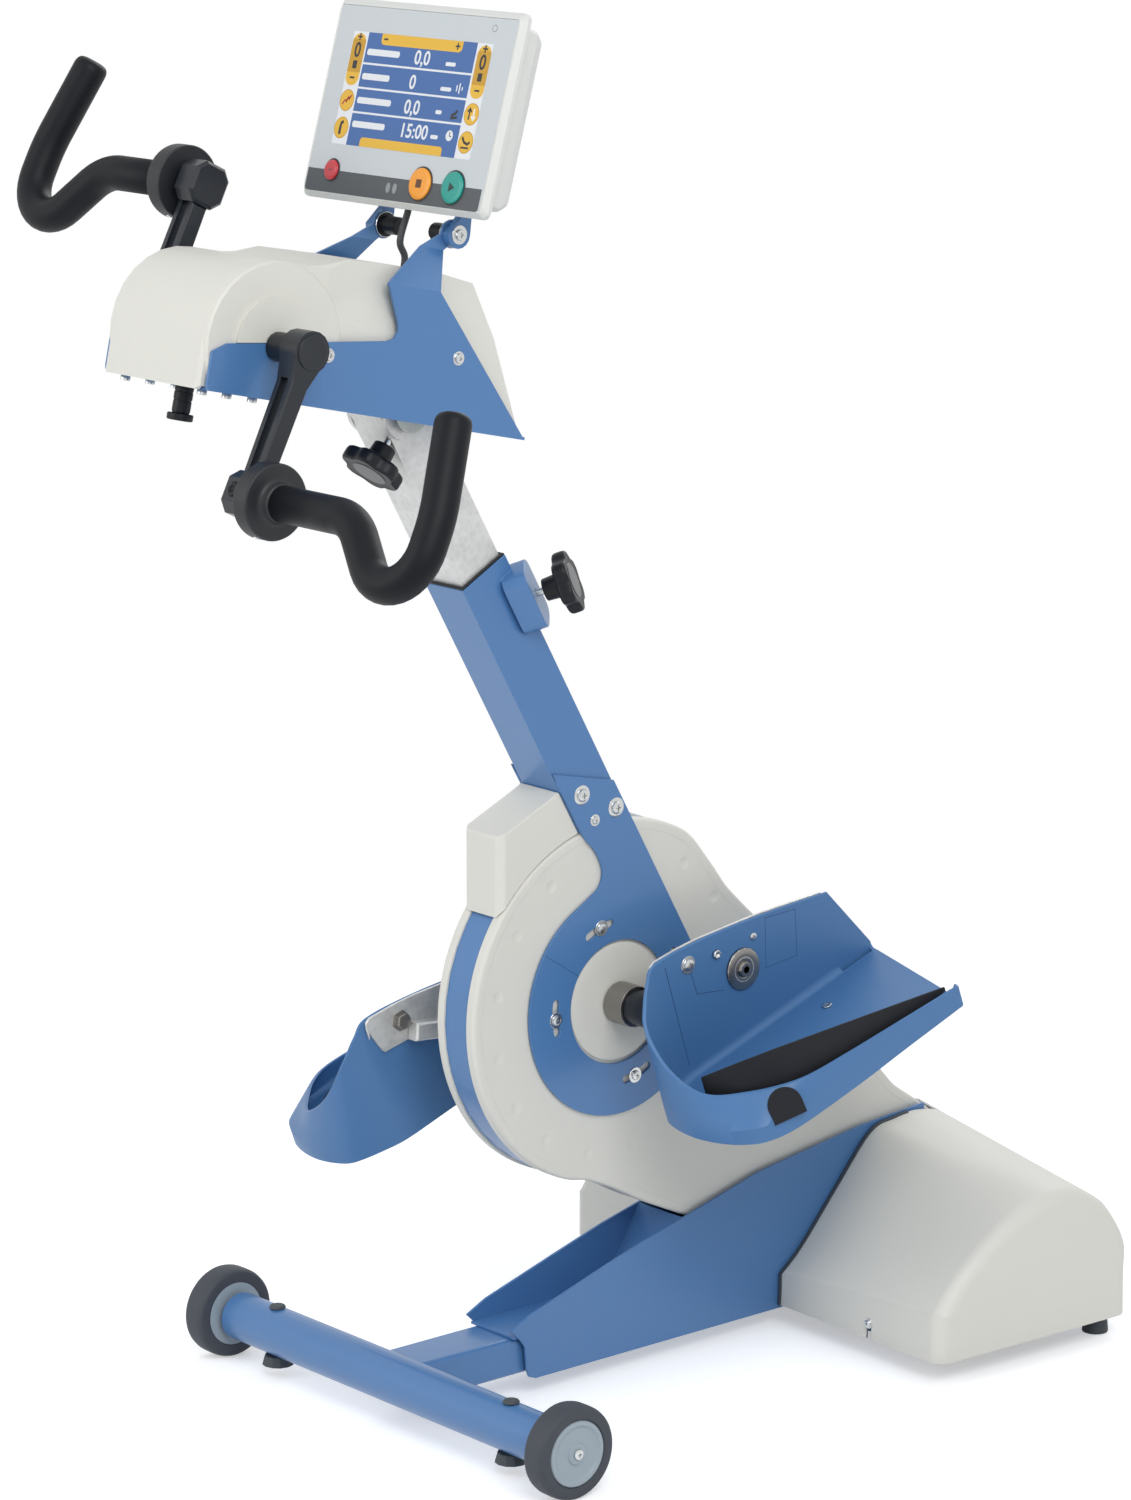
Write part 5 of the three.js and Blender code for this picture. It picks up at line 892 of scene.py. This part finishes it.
# How far each ring of the closed end reaches and how wide it is, in shares of the grip's radius
grip_end = [(0.18, 0.985), (0.34, 0.93), (0.46, 0.84), (0.54, 0.7), (0.58, 0.5), (0.59, 0.2)]
disc_profile = [(141, 0), (141, 34.4), (141.5, 35.5), (142.6, 36), (158.6, 36), (160.2, 35.4), (161, 34), (161.2, 26),
                (161.6, 22), (163.2, 19.6), (166.5, 18.2), (170.5, 17.7), (170.5, 0)]
disc_screw_profile = [(-1, 0), (-1, 3.4), (0.2, 3.4), (0.5, 2.9), (0.5, 1.7), (-0.6, 1.5), (-0.6, 0)]
for side, y, z in (("right", -490.90, 990.87), ("left", -362.93, 1248.66)):
    grip_at = mirror[side] @ place_at(y, z, -25.6)
    route = [grip_at @ Vector((x / 1000, 0, z / 1000)) for x, z in grip_route]
    foam = solid(side + "_grip", *along(route, grip_radius, 40, grip_end), grip_foam, side + "_grip")
    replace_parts(foam, side + "_handle")
    turned(side + "_grip_disc", disc_profile, grip_at, disc_black, side + "_grip")
    turned(side + "_disc_screw", disc_screw_profile, grip_at @ step(151, 0, -36) @ down, bright_zinc, side + "_grip",
           24)

# Leg cranks: flat steel arms half a turn apart on the shaft's ends, painted black, with the pedal pins in their
# outer eyes.
for side in mirror:
    dress(side + "_leg_crank", crank_black, 0.0012, 26, 3)

# Foot shells: blue mouldings open above and at the toe, with a thin wall that falls from the inner side round the
# heel to the outer side. A galvanised plate carries each one, and a flat strap stands on edge along its outer side.
shell_blue = finish("shell_blue", (70, 116, 166), 0.42, drift=0.03, grain=1500, depth=0.12)
webbing = finish("webbing", (17, 19, 27), 0.85, drift=0.08, grain=2200, depth=0.5)
# A darker blue for the seams, and for painted shade along the heel crease
shell_line = finish("shell_line", (38, 70, 110), 0.6)
# Near-black for painted shade: the shade inside the pin's hex socket, laid on as a flat disc
socket_shade_black = finish("socket_shade_black", (24, 28, 34), 0.6)
# The inner wall's place across, the sole's width, half the shell's length, half the wall's greatest height and the
# wall's thickness
shell_inner, shell_width, half_length, half_height, wall_thick = 104, 161, 170, 73, 4
sole_under, sole_slope, shell_middle, fillet_height, rim_drop = -84, 8, 184, 9.0, 1.6
toe_slot = ((108.6, 121, -100), (112.4, 166, -62))
# Round the wall, from the toe on the inner side: its foot's place, then its rim's place and height, in shares
wall_shares = [
    ((0, 1), (0, 1, -0.863)), ((0, 0.776), (0, 0.779, 0.229)), ((0, 0.241), (0, 0.241, 0.555)),
    ((0, -0.241), (0, -0.241, 0.788)), ((0, -0.576), (0, -0.606, 0.877)), ((0.043, -0.735), (0.019, -0.718, 0.699)),
    ((0.106, -0.871), (0.05, -0.8, 0.479)), ((0.168, -0.941), (0.093, -0.865, 0.274)),
    ((0.286, -0.976), (0.18, -0.906, 0)), ((0.41, -0.988), (0.311, -0.929, -0.274)),
    ((0.522, -0.982), (0.472, -0.924, -0.479)), ((0.665, -0.953), (0.602, -0.871, -0.589)),
    ((0.801, -0.9), (0.752, -0.747, -0.628)), ((0.925, -0.8), (0.888, -0.6, -0.648)),
    ((0.994, -0.582), (0.975, -0.412, -0.676)), ((1.006, -0.082), (0.994, -0.082, -0.735)),
    ((0.994, 0.353), (0.994, 0.353, -0.82)), ((0.985, 0.79), (0.985, 0.79, -0.915)),
    ((0.972, 0.85), (0.972, 0.85, -0.93)), ((0.94, 0.868), (0.94, 0.868, -0.94))]


def cut_out(piece, place, low, high):
    """Cuts a box, given by its lowest and highest corners in a group's own directions, out of a piece."""
    cutter = prism(piece.name + "_cutter", place, oblong(low[0], high[0], low[1], high[1]), low[2], high[2],
                   piece.data.materials[0], None, 2)
    opening = piece.modifiers.new("opening", "BOOLEAN")
    opening.object = cutter
    opening.operation = "DIFFERENCE"
    bpy.context.view_layer.update()
    made = bpy.data.meshes.new_from_object(piece.evaluated_get(bpy.context.evaluated_depsgraph_get()))
    piece.modifiers.clear()
    piece.data = made
    bpy.data.objects.remove(cutter)


def wall_line(spots):
    """A line round the wall through its spots: straight along the toe, then smooth."""
    return [spots[0].lerp(spots[1], k / 4) for k in range(4)] + spline(spots[1:], 6)


def up(height):
    """A rise in millimetres."""
    return Vector((0, 0, height))


def foot_walls(name, place, body):
    """The shell: a curved wall with a rounded rim and a fillet inside, on a flat sole whose underside slopes."""
    rims = wall_line([Vector((shell_inner + shell_width * x, half_length * y, half_height * z))
                      for _, (x, y, z) in wall_shares])
    feet = wall_line([Vector((shell_inner + shell_width * x, half_length * y, -half_height))
                      for (x, y), _ in wall_shares])
    last = len(feet) - 1
    points, count = [], 0
    for i, (foot, rim) in enumerate(zip(feet, rims)):
        heading = feet[min(i + 1, last)] - feet[max(i - 1, 0)]
        inward = Vector((heading.y, -heading.x, 0)).normalized()
        if i <= last * 0.05:
            inward = Vector((1, 0, 0))
        elif inward.dot(Vector((shell_middle, 0, -half_height)) - foot) < 0:
            inward *= -1
        under = sole_under - sole_slope * (foot.x - shell_inner) / shell_width
        rise = rim - foot
        slope = rise.normalized()
        inner = foot + inward * wall_thick
        lift = min(fillet_height, max(rise.z * 0.6, 1.0))
        ring = [Vector((foot.x, foot.y, under)) + inward * 1.2, Vector((foot.x, foot.y, under + 1.4)), foot,
                foot + rise * 0.33, foot + rise * 0.66, rim - slope * rim_drop,
                rim + inward * 0.5 - up(0.5), rim + inward * 2.0 + up(0.25), rim + inward * 3.5 - up(0.5),
                rim + inward * wall_thick - slope * rim_drop, inner + rise * 0.62, inner + slope * lift,
                inner + inward * 1.4 + up(lift * 0.4), inner + inward * 4.5 + up(0.6), inner + inward * 8]
        count = len(ring)
        points += ring
    faces = [face for i in range(last) for face in strips(i * count, (i + 1) * count, count, closed=False)]
    faces += [tuple(i * count for i in range(last + 1)), tuple(i * count + count - 1 for i in range(last + 1))]
    faces += [tuple(range(count)), tuple(last * count + k for k in range(count))]
    faces.append((0, count - 1, last * count + count - 1, last * count))
    piece = solid(name, set_at(place, points), faces, shell_blue, body)
    cut_out(piece, place, *toe_slot)
    return soften(piece, 0.0005, 2, 40)


# The strap's thickness and height, and how its upper edge falls for each millimetre towards the toe and inwards
strap_thick, strap_height, strap_top, fall_forward, fall_inward = 2.4, 50, -28, 0.263, 0.516
# How far across the strap and how far from its edge each of its long lines lies
strap_lines = ((0, 1.2), (0.18, 0.2), (0.82, 0.2), (1, 1.2))
strap_line = spline([Vector((shell_width * a, half_length * b)) for a, b in (
    (0.46, -0.818), (0.658, -0.753), (0.77, -0.662), (0.882, -0.518), (0.932, -0.235), (0.938, 0.235), (0.925, 0.588),
    (0.903, 0.8))], 6)


def foot_strap(name, place, drop, body):
    """A flat strip on edge along the outer side, whose upper edge hangs lower by a drop but stays off the sole."""
    points = []
    for i, spot in enumerate(strap_line):
        heading = heading_at(strap_line, i)
        across = Vector((-heading.y, heading.x)) * strap_thick
        high = strap_top - fall_forward * spot.y - fall_inward * (shell_width - 8 - spot.x) - drop
        high = max(3.5 - half_height, high)
        low = max(0.4 - half_height, high - strap_height)
        lines = [(share, high - inset) for share, inset in strap_lines]
        lines += [(share, low + inset) for share, inset in strap_lines[::-1]]
        points += [(shell_inner + spot.x + across.x * share, spot.y + across.y * share, z) for share, z in lines]
    return soften(solid(name, set_at(place, points), rings_to_faces(len(strap_line), 8), webbing, body), 0.0, 1, 40)


def line_on_wall(name, place, corners, body):
    """A fine dark line drawn on the inner wall through corners in Y and Z; it draws the seams, and the painted shade
    along the heel crease.
    """
    spots = [Vector(corner) for corner in corners]
    for number, (start, end) in enumerate(zip(spots, spots[1:])):
        heading = (end - start).normalized() * 0.3
        across = Vector((-heading.y, heading.x))
        flat = [start - across - heading, end - across + heading, end + across + heading, start + across - heading]
        prism(f"{name}_{number + 1}", place, [tuple(spot) for spot in flat], 107.6, 108.06, shell_line, body)


def facing(x, y, z):
    """A turn that points the X axis a given way."""
    return Vector((x, y, z)).to_track_quat("X", "Z").to_matrix().to_4x4()


# Each strap has a tab outside, at the heel. The left one is smaller and lies flatter against the shell.
tab_outline = [polar(18, k * 7.5) for k in range(25)] + [(-18, -14.5), (18, -14.5)]
tab_places = {"right": step(258.5, -107, -63) @ facing(0.86, -0.30, 0.41),
              "left": step(265.5, -60, -70) @ facing(0.99, -0.04, 0.05) @ Matrix.Scale(0.8, 4)}
carrier_inner, carrier_outer, wall_face = 100.1, 103.5, 108
edge_top = [(y, half_height * z + 0.9) for y, z in (
    (-108.8, 0.76), (-107, 0.835), (-101, 0.874), (-70, 0.842), (-41, 0.788), (0, 0.672), (41, 0.555), (86, 0.395),
    (128, 0.24))]
carrier_edge = [(y, z - 13) for y, z in edge_top] + edge_top[::-1]
bolt_head_profile = [(-0.4, 0), (-0.4, 11.5), (1.2, 11.5), (1.2, 9), (6.2, 9), (6.9, 8.2), (6.9, 0)]
flange_profile = [(108.1, 6.6), (108.1, 22), (110.2, 22), (111.3, 21), (111.5, 14), (111.2, 12.6), (111.6, 11.8),
                  (111.6, 6.6), (108.1, 6.6)]
# A flat hexagon 1 mm thick on the pin's end, painted with the shade of its socket
socket_shade_profile = [(113.6, 0), (113.6, 4.2), (114.6, 4.2), (114.6, 0)]
nut_profile = [(0, 0), (0, 5.2), (3.2, 5.2), (3.9, 4.6), (3.9, 2.6), (2.6, 2.4), (2.6, 0)]
sole_nut_profile = [(0, 0), (0, 5.4), (1.6, 5.2), (2.0, 4.4), (1.2, 2.4), (1.2, 0)]
# The pad and panel seams are real lines; the heel crease line is painted shade where the wall bends from the inner side
# into the heel
wall_marks = {"pad_seam": [(-63.3, 32.3), (-63.8, 6.3), (-29.8, -8.6)],
              "panel_seam": [(45.7, 34.5), (29.4, -16.3), (72.4, -25.3), (86.1, 22.5), (45.7, 34.5)],
              "heel_crease_shade": [(-92.9, 54.1), (-98, -60)]}
for side, y, z, drop in (("right", 139.14, 430.05, 0), ("left", -64.84, 365.35, 90)):
    pedal_at = mirror[side] @ place_at(y, z, 20)
    body = side + "_pedal"
    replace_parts(foot_walls(side + "_shell", pedal_at, body), side + "_foot_shell")
    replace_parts(foot_strap(side + "_strap", pedal_at, drop, body), side + "_foot_strap")
    dress(side + "_pedal_carrier", mast_zinc, 0.0006)
    flat_plate(side + "_carrier_edge", carrier_edge, [], carrier_inner, carrier_outer, 0.9, pedal_at, mast_zinc, body)
    turned(side + "_carrier_bolt", bolt_head_profile, pedal_at @ step(carrier_inner, -66.7, 41.7) @ rotation(180, "Z"),
           turned_steel, body, 6, 0.0005)
    turned(side + "_pin_flange", flange_profile, pedal_at, turned_steel, body)
    # A flat black hexagon on the pin's end: painted shade standing for its hex socket
    turned(side + "_pin_socket_shade", socket_shade_profile, pedal_at, socket_shade_black, body, 6)
    cross_screw(side + "_shell_screw", pedal_at @ step(wall_face, -64.4, 41.3), 6.6, body, washer=9.4)
    turned(side + "_shell_nut", nut_profile, pedal_at @ step(107.8, -27.4, 33.1), bright_zinc, body, 6)
    cross_screw(side + "_shell_pin", pedal_at @ step(wall_face, 24.3, 24.8), 4.2, body)
    turned(side + "_sole_nut", sole_nut_profile, pedal_at @ step(145.8, 63.1, -half_height) @ rotation(-90, "Y"),
           bright_zinc, body, 24)
    for name, corners in wall_marks.items():
        line_on_wall(f"{side}_{name}", pedal_at, corners, body)
    flat_plate(side + "_strap_tab", tab_outline, [], -2.4, 3.0, 0.9, pedal_at @ tab_places[side], webbing, body)

# Display: a shallow beige case with a soft rim round a flat printed face, hung between the frame's two arms on a
# steel bracket. Two knurled nuts set how far it tilts.


def ink(name, tone, gloss=0.35):
    """A finish of printed ink or a lit screen: smooth and even."""
    return finish(name, tone, gloss, drift=0.01, grain=3000, depth=0.0)


dress("display_case", finish("cover_light", (216, 217, 212), 0.48, drift=0.012, grain=1500), 0.002, 26, 3)
dress("display_bracket", frame_blue, 0.0008)
face_grey = finish("face_grey", (198, 203, 205), 0.36, drift=0.008, grain=2500, depth=0.02)
dress("display_screen", face_grey, 0.0002)
strip_grey = finish("strip_grey", (74, 79, 83), 0.4, drift=0.01, grain=2500, depth=0.02)
screen_blue, screen_white = ink("screen_blue", (58, 100, 160)), ink("screen_white", (226, 228, 230))
sign_yellow, sign_gold = ink("sign_yellow", (226, 178, 52), 0.3), ink("sign_gold", (196, 148, 30), 0.3)
sign_black, mark_grey = ink("sign_black", (26, 28, 30)), ink("mark_grey", (140, 144, 146), 0.4)
print_step, figure_share = 0.05, 0.729


def printed(name, loop, level, material):
    """A flat printed patch on the display's face, from corners in X and Z, raised by its level."""
    prism(name, display_at, loop, 0.6, -print_step * (1 + level), material, "display", 1)


def soft_box(x0, x1, z0, z1, *radii, steps=6):
    """A rectangle's corners, sharp, rounded by one radius, or by four from the lower left anticlockwise."""
    loop = []
    radii = radii * 4 if len(radii) == 1 else radii or (0, 0, 0, 0)
    for (x, z, start), radius in zip(((x0, z0, 180), (x1, z0, 270), (x1, z1, 0), (x0, z1, 90)), radii):
        cx, cz = x + (radius if x == x0 else -radius), z + (radius if z == z0 else -radius)
        corner = [polar(radius, start + 90 * k / steps) for k in range(steps + 1 if radius else 1)]
        loop += [(cx + a, cz + b) for a, b in corner]
    return loop


def bar_at(x, z, half_x, half_z):
    """A sharp rectangle round its middle."""
    return soft_box(x - half_x, x + half_x, z - half_z, z + half_z)


def stroke(x, z, points, width, scale=1.0):
    """The outline of a line of even width through points, about a middle."""
    left, right = [], []
    spots = [Vector((x + scale * a, z + scale * b)) for a, b in points]
    for k, spot in enumerate(spots):
        heading = heading_at(spots, k)
        across = Vector((-heading.y, heading.x)) * width / 2
        left.append(tuple(spot + across))
        right.append(tuple(spot - across))
    return left + right[::-1]


def numeral(name, text, x, z, height, material, level, width=1.0):
    """Plain numbers of a height printed on the screen, with their middle at x and their foot at z."""
    letters = bpy.data.curves.new(name, "FONT")
    letters.body = text
    letters.align_x = "CENTER"
    letters.size = height / figure_share / 1000
    letters.extrude = 0.00012
    letters.offset = 0.00034
    letters.resolution_u = 4
    shape = bpy.data.objects.new(name + "_curve", letters)
    mesh = bpy.data.meshes.new_from_object(shape)
    bpy.data.objects.remove(shape)
    mesh.name = name
    spot = display_at @ step(x, -print_step * level, z) @ rotation(90, "X")
    mesh.transform(spot @ Matrix.Diagonal((width, 1, 1, 1)))
    mesh.materials.clear()
    mesh.materials.append(material)
    made = bpy.data.objects.new(name, mesh)
    scene.collection.objects.link(made)
    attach(made, "display")


# Plain shapes for the screen's fields, bars, keys and signs
screen_top, screen_foot, pill_middles, round_heights = 159.5, 48.5, (("left", -96.2), ("right", 93.8)), (91.5, 64.5)
printed("face_strip", soft_box(-134, 131, 0.5, 22.5, 4, 4, 0, 0), 1, strip_grey)
printed("screen_sides", soft_box(-107, 104, screen_foot, screen_top, 1), 1, screen_white)
for number, (low, high) in enumerate(((130, screen_top), (106, 128), (82, 104), (screen_foot, 80))):
    printed(f"screen_row_{number + 1}", soft_box(-84, 81, low, high), 2, screen_blue)
printed("top_bar", soft_box(-63, 60, 148.5, screen_top, 5, 5, 1, 1), 3, sign_yellow)
printed("foot_bar", soft_box(-64, 61, screen_foot, 57.5, 1, 1, 4, 4), 3, sign_yellow)
printed("top_bar_minus", bar_at(-56.1, 154.2, 3.1, 0.9), 4, sign_black)
printed("top_bar_plus_1", bar_at(53, 154.2, 3.4, 0.85), 4, sign_black)
printed("top_bar_plus_2", bar_at(53, 154.2, 0.85, 3.4), 5, sign_black)
for side, middle in pill_middles:
    printed(side + "_pill", soft_box(middle - 10, middle + 10, 106.5, 157.5, 9, steps=8), 2, sign_yellow)
    printed(side + "_pill_middle", soft_box(middle - 10, middle + 10, 119.5, 152.5, 0, 0, 3, 3), 3, sign_gold)
    printed(side + "_pill_plus_1", bar_at(middle, 154.4, 3.6, 0.85), 4, sign_black)
    printed(side + "_pill_plus_2", bar_at(middle, 154.4, 0.85, 3.6), 5, sign_black)
    printed(side + "_pill_minus", bar_at(middle, 114.1, 3.6, 0.9), 4, sign_black)
    numeral(side + "_level", "0", middle, 134.6, 15, sign_black, 5, 0.92)
    printed(side + "_level_mark", soft_box(middle - 3.2, middle + 3.2, 123, 131, 1, steps=3), 4, sign_black)
    for number, height in enumerate(round_heights):
        printed(f"{side}_round_rim_{number + 1}", ring_of(10.8, 32, middle - 0.6, height), 2, sign_gold)
        printed(f"{side}_round_{number + 1}", ring_of(9.8, 32, middle - 0.6, height), 3, sign_yellow)
sign_red = finish("sign_red", (168, 40, 44), 0.3)
sign_white = finish("sign_white", (236, 236, 232), 0.3)
left_x, right_x, (upper_z, lower_z) = -96.8, 93.2, round_heights
signs = {
    "left_peaks": (left_x, upper_z, [(-5, -3.5), (-2, 0.5), (-0.5, -2), (1.5, 3.5), (2.5, 0.5), (5, 4.5)], 1.4,
                   sign_red),
    "left_pace": (left_x, lower_z, [(-1, -5.5), (-1, 1), (-0.6, 4), (1.8, 5)], 2.6, sign_black),
    "right_up": (right_x, upper_z, [(-2.6, -4.5), (-2.6, 4.5)], 1.5, sign_black),
    "right_up_head": (right_x, upper_z, [(-5, 1.6), (-2.6, 4.8), (-0.2, 1.6)], 1.4, sign_black),
    "right_down": (right_x, upper_z, [(2.8, 4.5), (2.8, -4.5)], 1.5, sign_white),
    "right_down_head": (right_x, upper_z, [(0.4, -1.6), (2.8, -4.8), (5.2, -1.6)], 1.4, sign_white),
    "right_step": (right_x, lower_z, [(-5, 4), (-2, 0), (2.5, -1.4), (5, 0.6)], 2.0, sign_black),
    "right_floor": (right_x, lower_z, [(-5, -4.4), (4.4, -4.4)], 1.3, sign_black)}
for name, (x, z, route, width, tone) in signs.items():
    printed("sign_" + name, stroke(x, z, route, 1.35 * width, 1.2), 4, tone)
row_icons = ((114.5, [(-4, -3), (-4, 3)], 1.6, screen_white), (114.5, [(0, -5), (0, 5)], 1.6, screen_white),
             (114.5, [(4, -1.5), (4, 1.5)], 1.6, screen_white),
             (89.5, [(-4, -1.4), (1, 0.6), (4, 4)], 3.0, sign_black), (89.5, [(-5, -4.0), (5, -2.6)], 2.6, sign_black))
for number, (z, route, width, tone) in enumerate(row_icons):
    printed(f"row_icon_{number + 1}", stroke(68, z, route, width), 3, tone)
printed("clock", ring_of(5.2, 32, 67.5, 69), 3, screen_white)
printed("clock_hand", stroke(67.5, 69, [(0, 3.5), (0, 0), (2.9, -1)], 1.1), 4, sign_black)
for number, (text, x, z, unit_z, unit_width, label_z, label_width) in enumerate((
        ("0,0", 4, 133.4, 136.5, 15, 140.5, 50), ("0", -3, 109.4, 112.5, 16, 116.5, 42),
        ("0,0", 4, 85.4, 90, 9, 93, 52), ("15:00", 14, 62.6, 66, 11, 69.5, 50))):
    numeral(f"row_number_{number + 1}", text, x, z, 14, screen_white, 4)
    for kind, left, middle, width, half, radius in (("unit", 40, unit_z, unit_width, 1.9, 1.6),
                                                    ("label", -81, label_z, label_width, 3.1, 2.4)):
        bar = soft_box(left, left + width, middle - half, middle + half, radius, steps=4)
        printed(f"{kind}_bar_{number + 1}", bar, 3, screen_white)
for number, x in enumerate((-7, 3)):
    printed(f"strip_mark_{number + 1}", [(x + 3.2 * a, 12.5 + 5 * b) for a, b in ring_of(1, 24)], 2, mark_grey)
printed("power_mark", ring_of(3.6, 32, 101, 174.5), 1, mark_grey)
printed("power_mark_middle", ring_of(2.8, 32, 101, 174.5), 2, face_grey)

# Buttons: three domed caps in dark rings, with a plain square, a plain triangle and a plain bar on them, in a
# darker tone of each cap.
ring_dark = finish("ring_dark", (58, 60, 62), 0.4)
for name, x, z, radius, tone, mark_tone, mark in (
        ("stop", 40.8, 20.0, 15.5, (240, 156, 40), (200, 110, 30), [(-4, -4), (4, -4), (4, 4), (-4, 4)]),
        ("start", 89.4, 20.4, 15.5, (14, 150, 136), (20, 90, 90), [(-3.4, -4.6), (5, 0), (-3.4, 4.6)]),
        ("standby", -96.7, 22.4, 10.0, (196, 52, 62), (230, 150, 150), [(-3, -0.6), (3, -0.6), (3, 0.6), (-3, 0.6)])):
    spot = display_at @ step(x, 0, z) @ rotation(-90, "Z")
    dome = [(-6, 0), (-6, 6), (-0.25, 6), (-0.25, radius), (1.6, radius), (2.5, radius - 0.5), (3, radius - 1.6),
            (3.2, radius * 0.7), (3.2, 0)]
    tinted = finish(name + "_cap", tone, 0.32, drift=0.01, grain=2500, depth=0.02, coat=0.2)
    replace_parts(turned(name + "_dome", dome, spot, tinted, name), name + "_button")
    inner, outer = radius + 0.25, radius + 1.7
    turned(name + "_ring", [(-0.2, inner), (-0.2, outer), (0.5, outer), (0.5, inner), (-0.2, inner)], spot, ring_dark,
           "display")
    deep = finish(name + "_mark", [value * 0.45 for value in mark_tone], 0.4)
    prism(name + "_sign", display_at, [(x + a, z + b) for a, b in mark], -2.4, -3.28, deep, name, 1)

# Tilt nuts: black moulded heads with flutes along them and a bright washer against each arm. A washered screw
# in the end of each holds it on.
chrome = finish("chrome", (214, 216, 218), 0.14, drift=0.02, metal=1.0, grain=300, depth=0.0)
washer_profile = [(47.9, 11.6), (47.9, 12.5), (50.2, 12.5), (50.2, 11.6), (47.9, 11.6)]
for side, flip in mirror.items():
    dress(side + "_display_knob", moulded_black, 0.0008)
    nut_place = flip @ place_at(-194.18, 1203.64)
    turned(side + "_nut_washer", washer_profile, nut_place, chrome, side + "_tilt_nut", 48)
    cross_screw(side + "_lug_screw", nut_place @ step(63.5, 0, 0), 5.6, "display", washer=9.2)
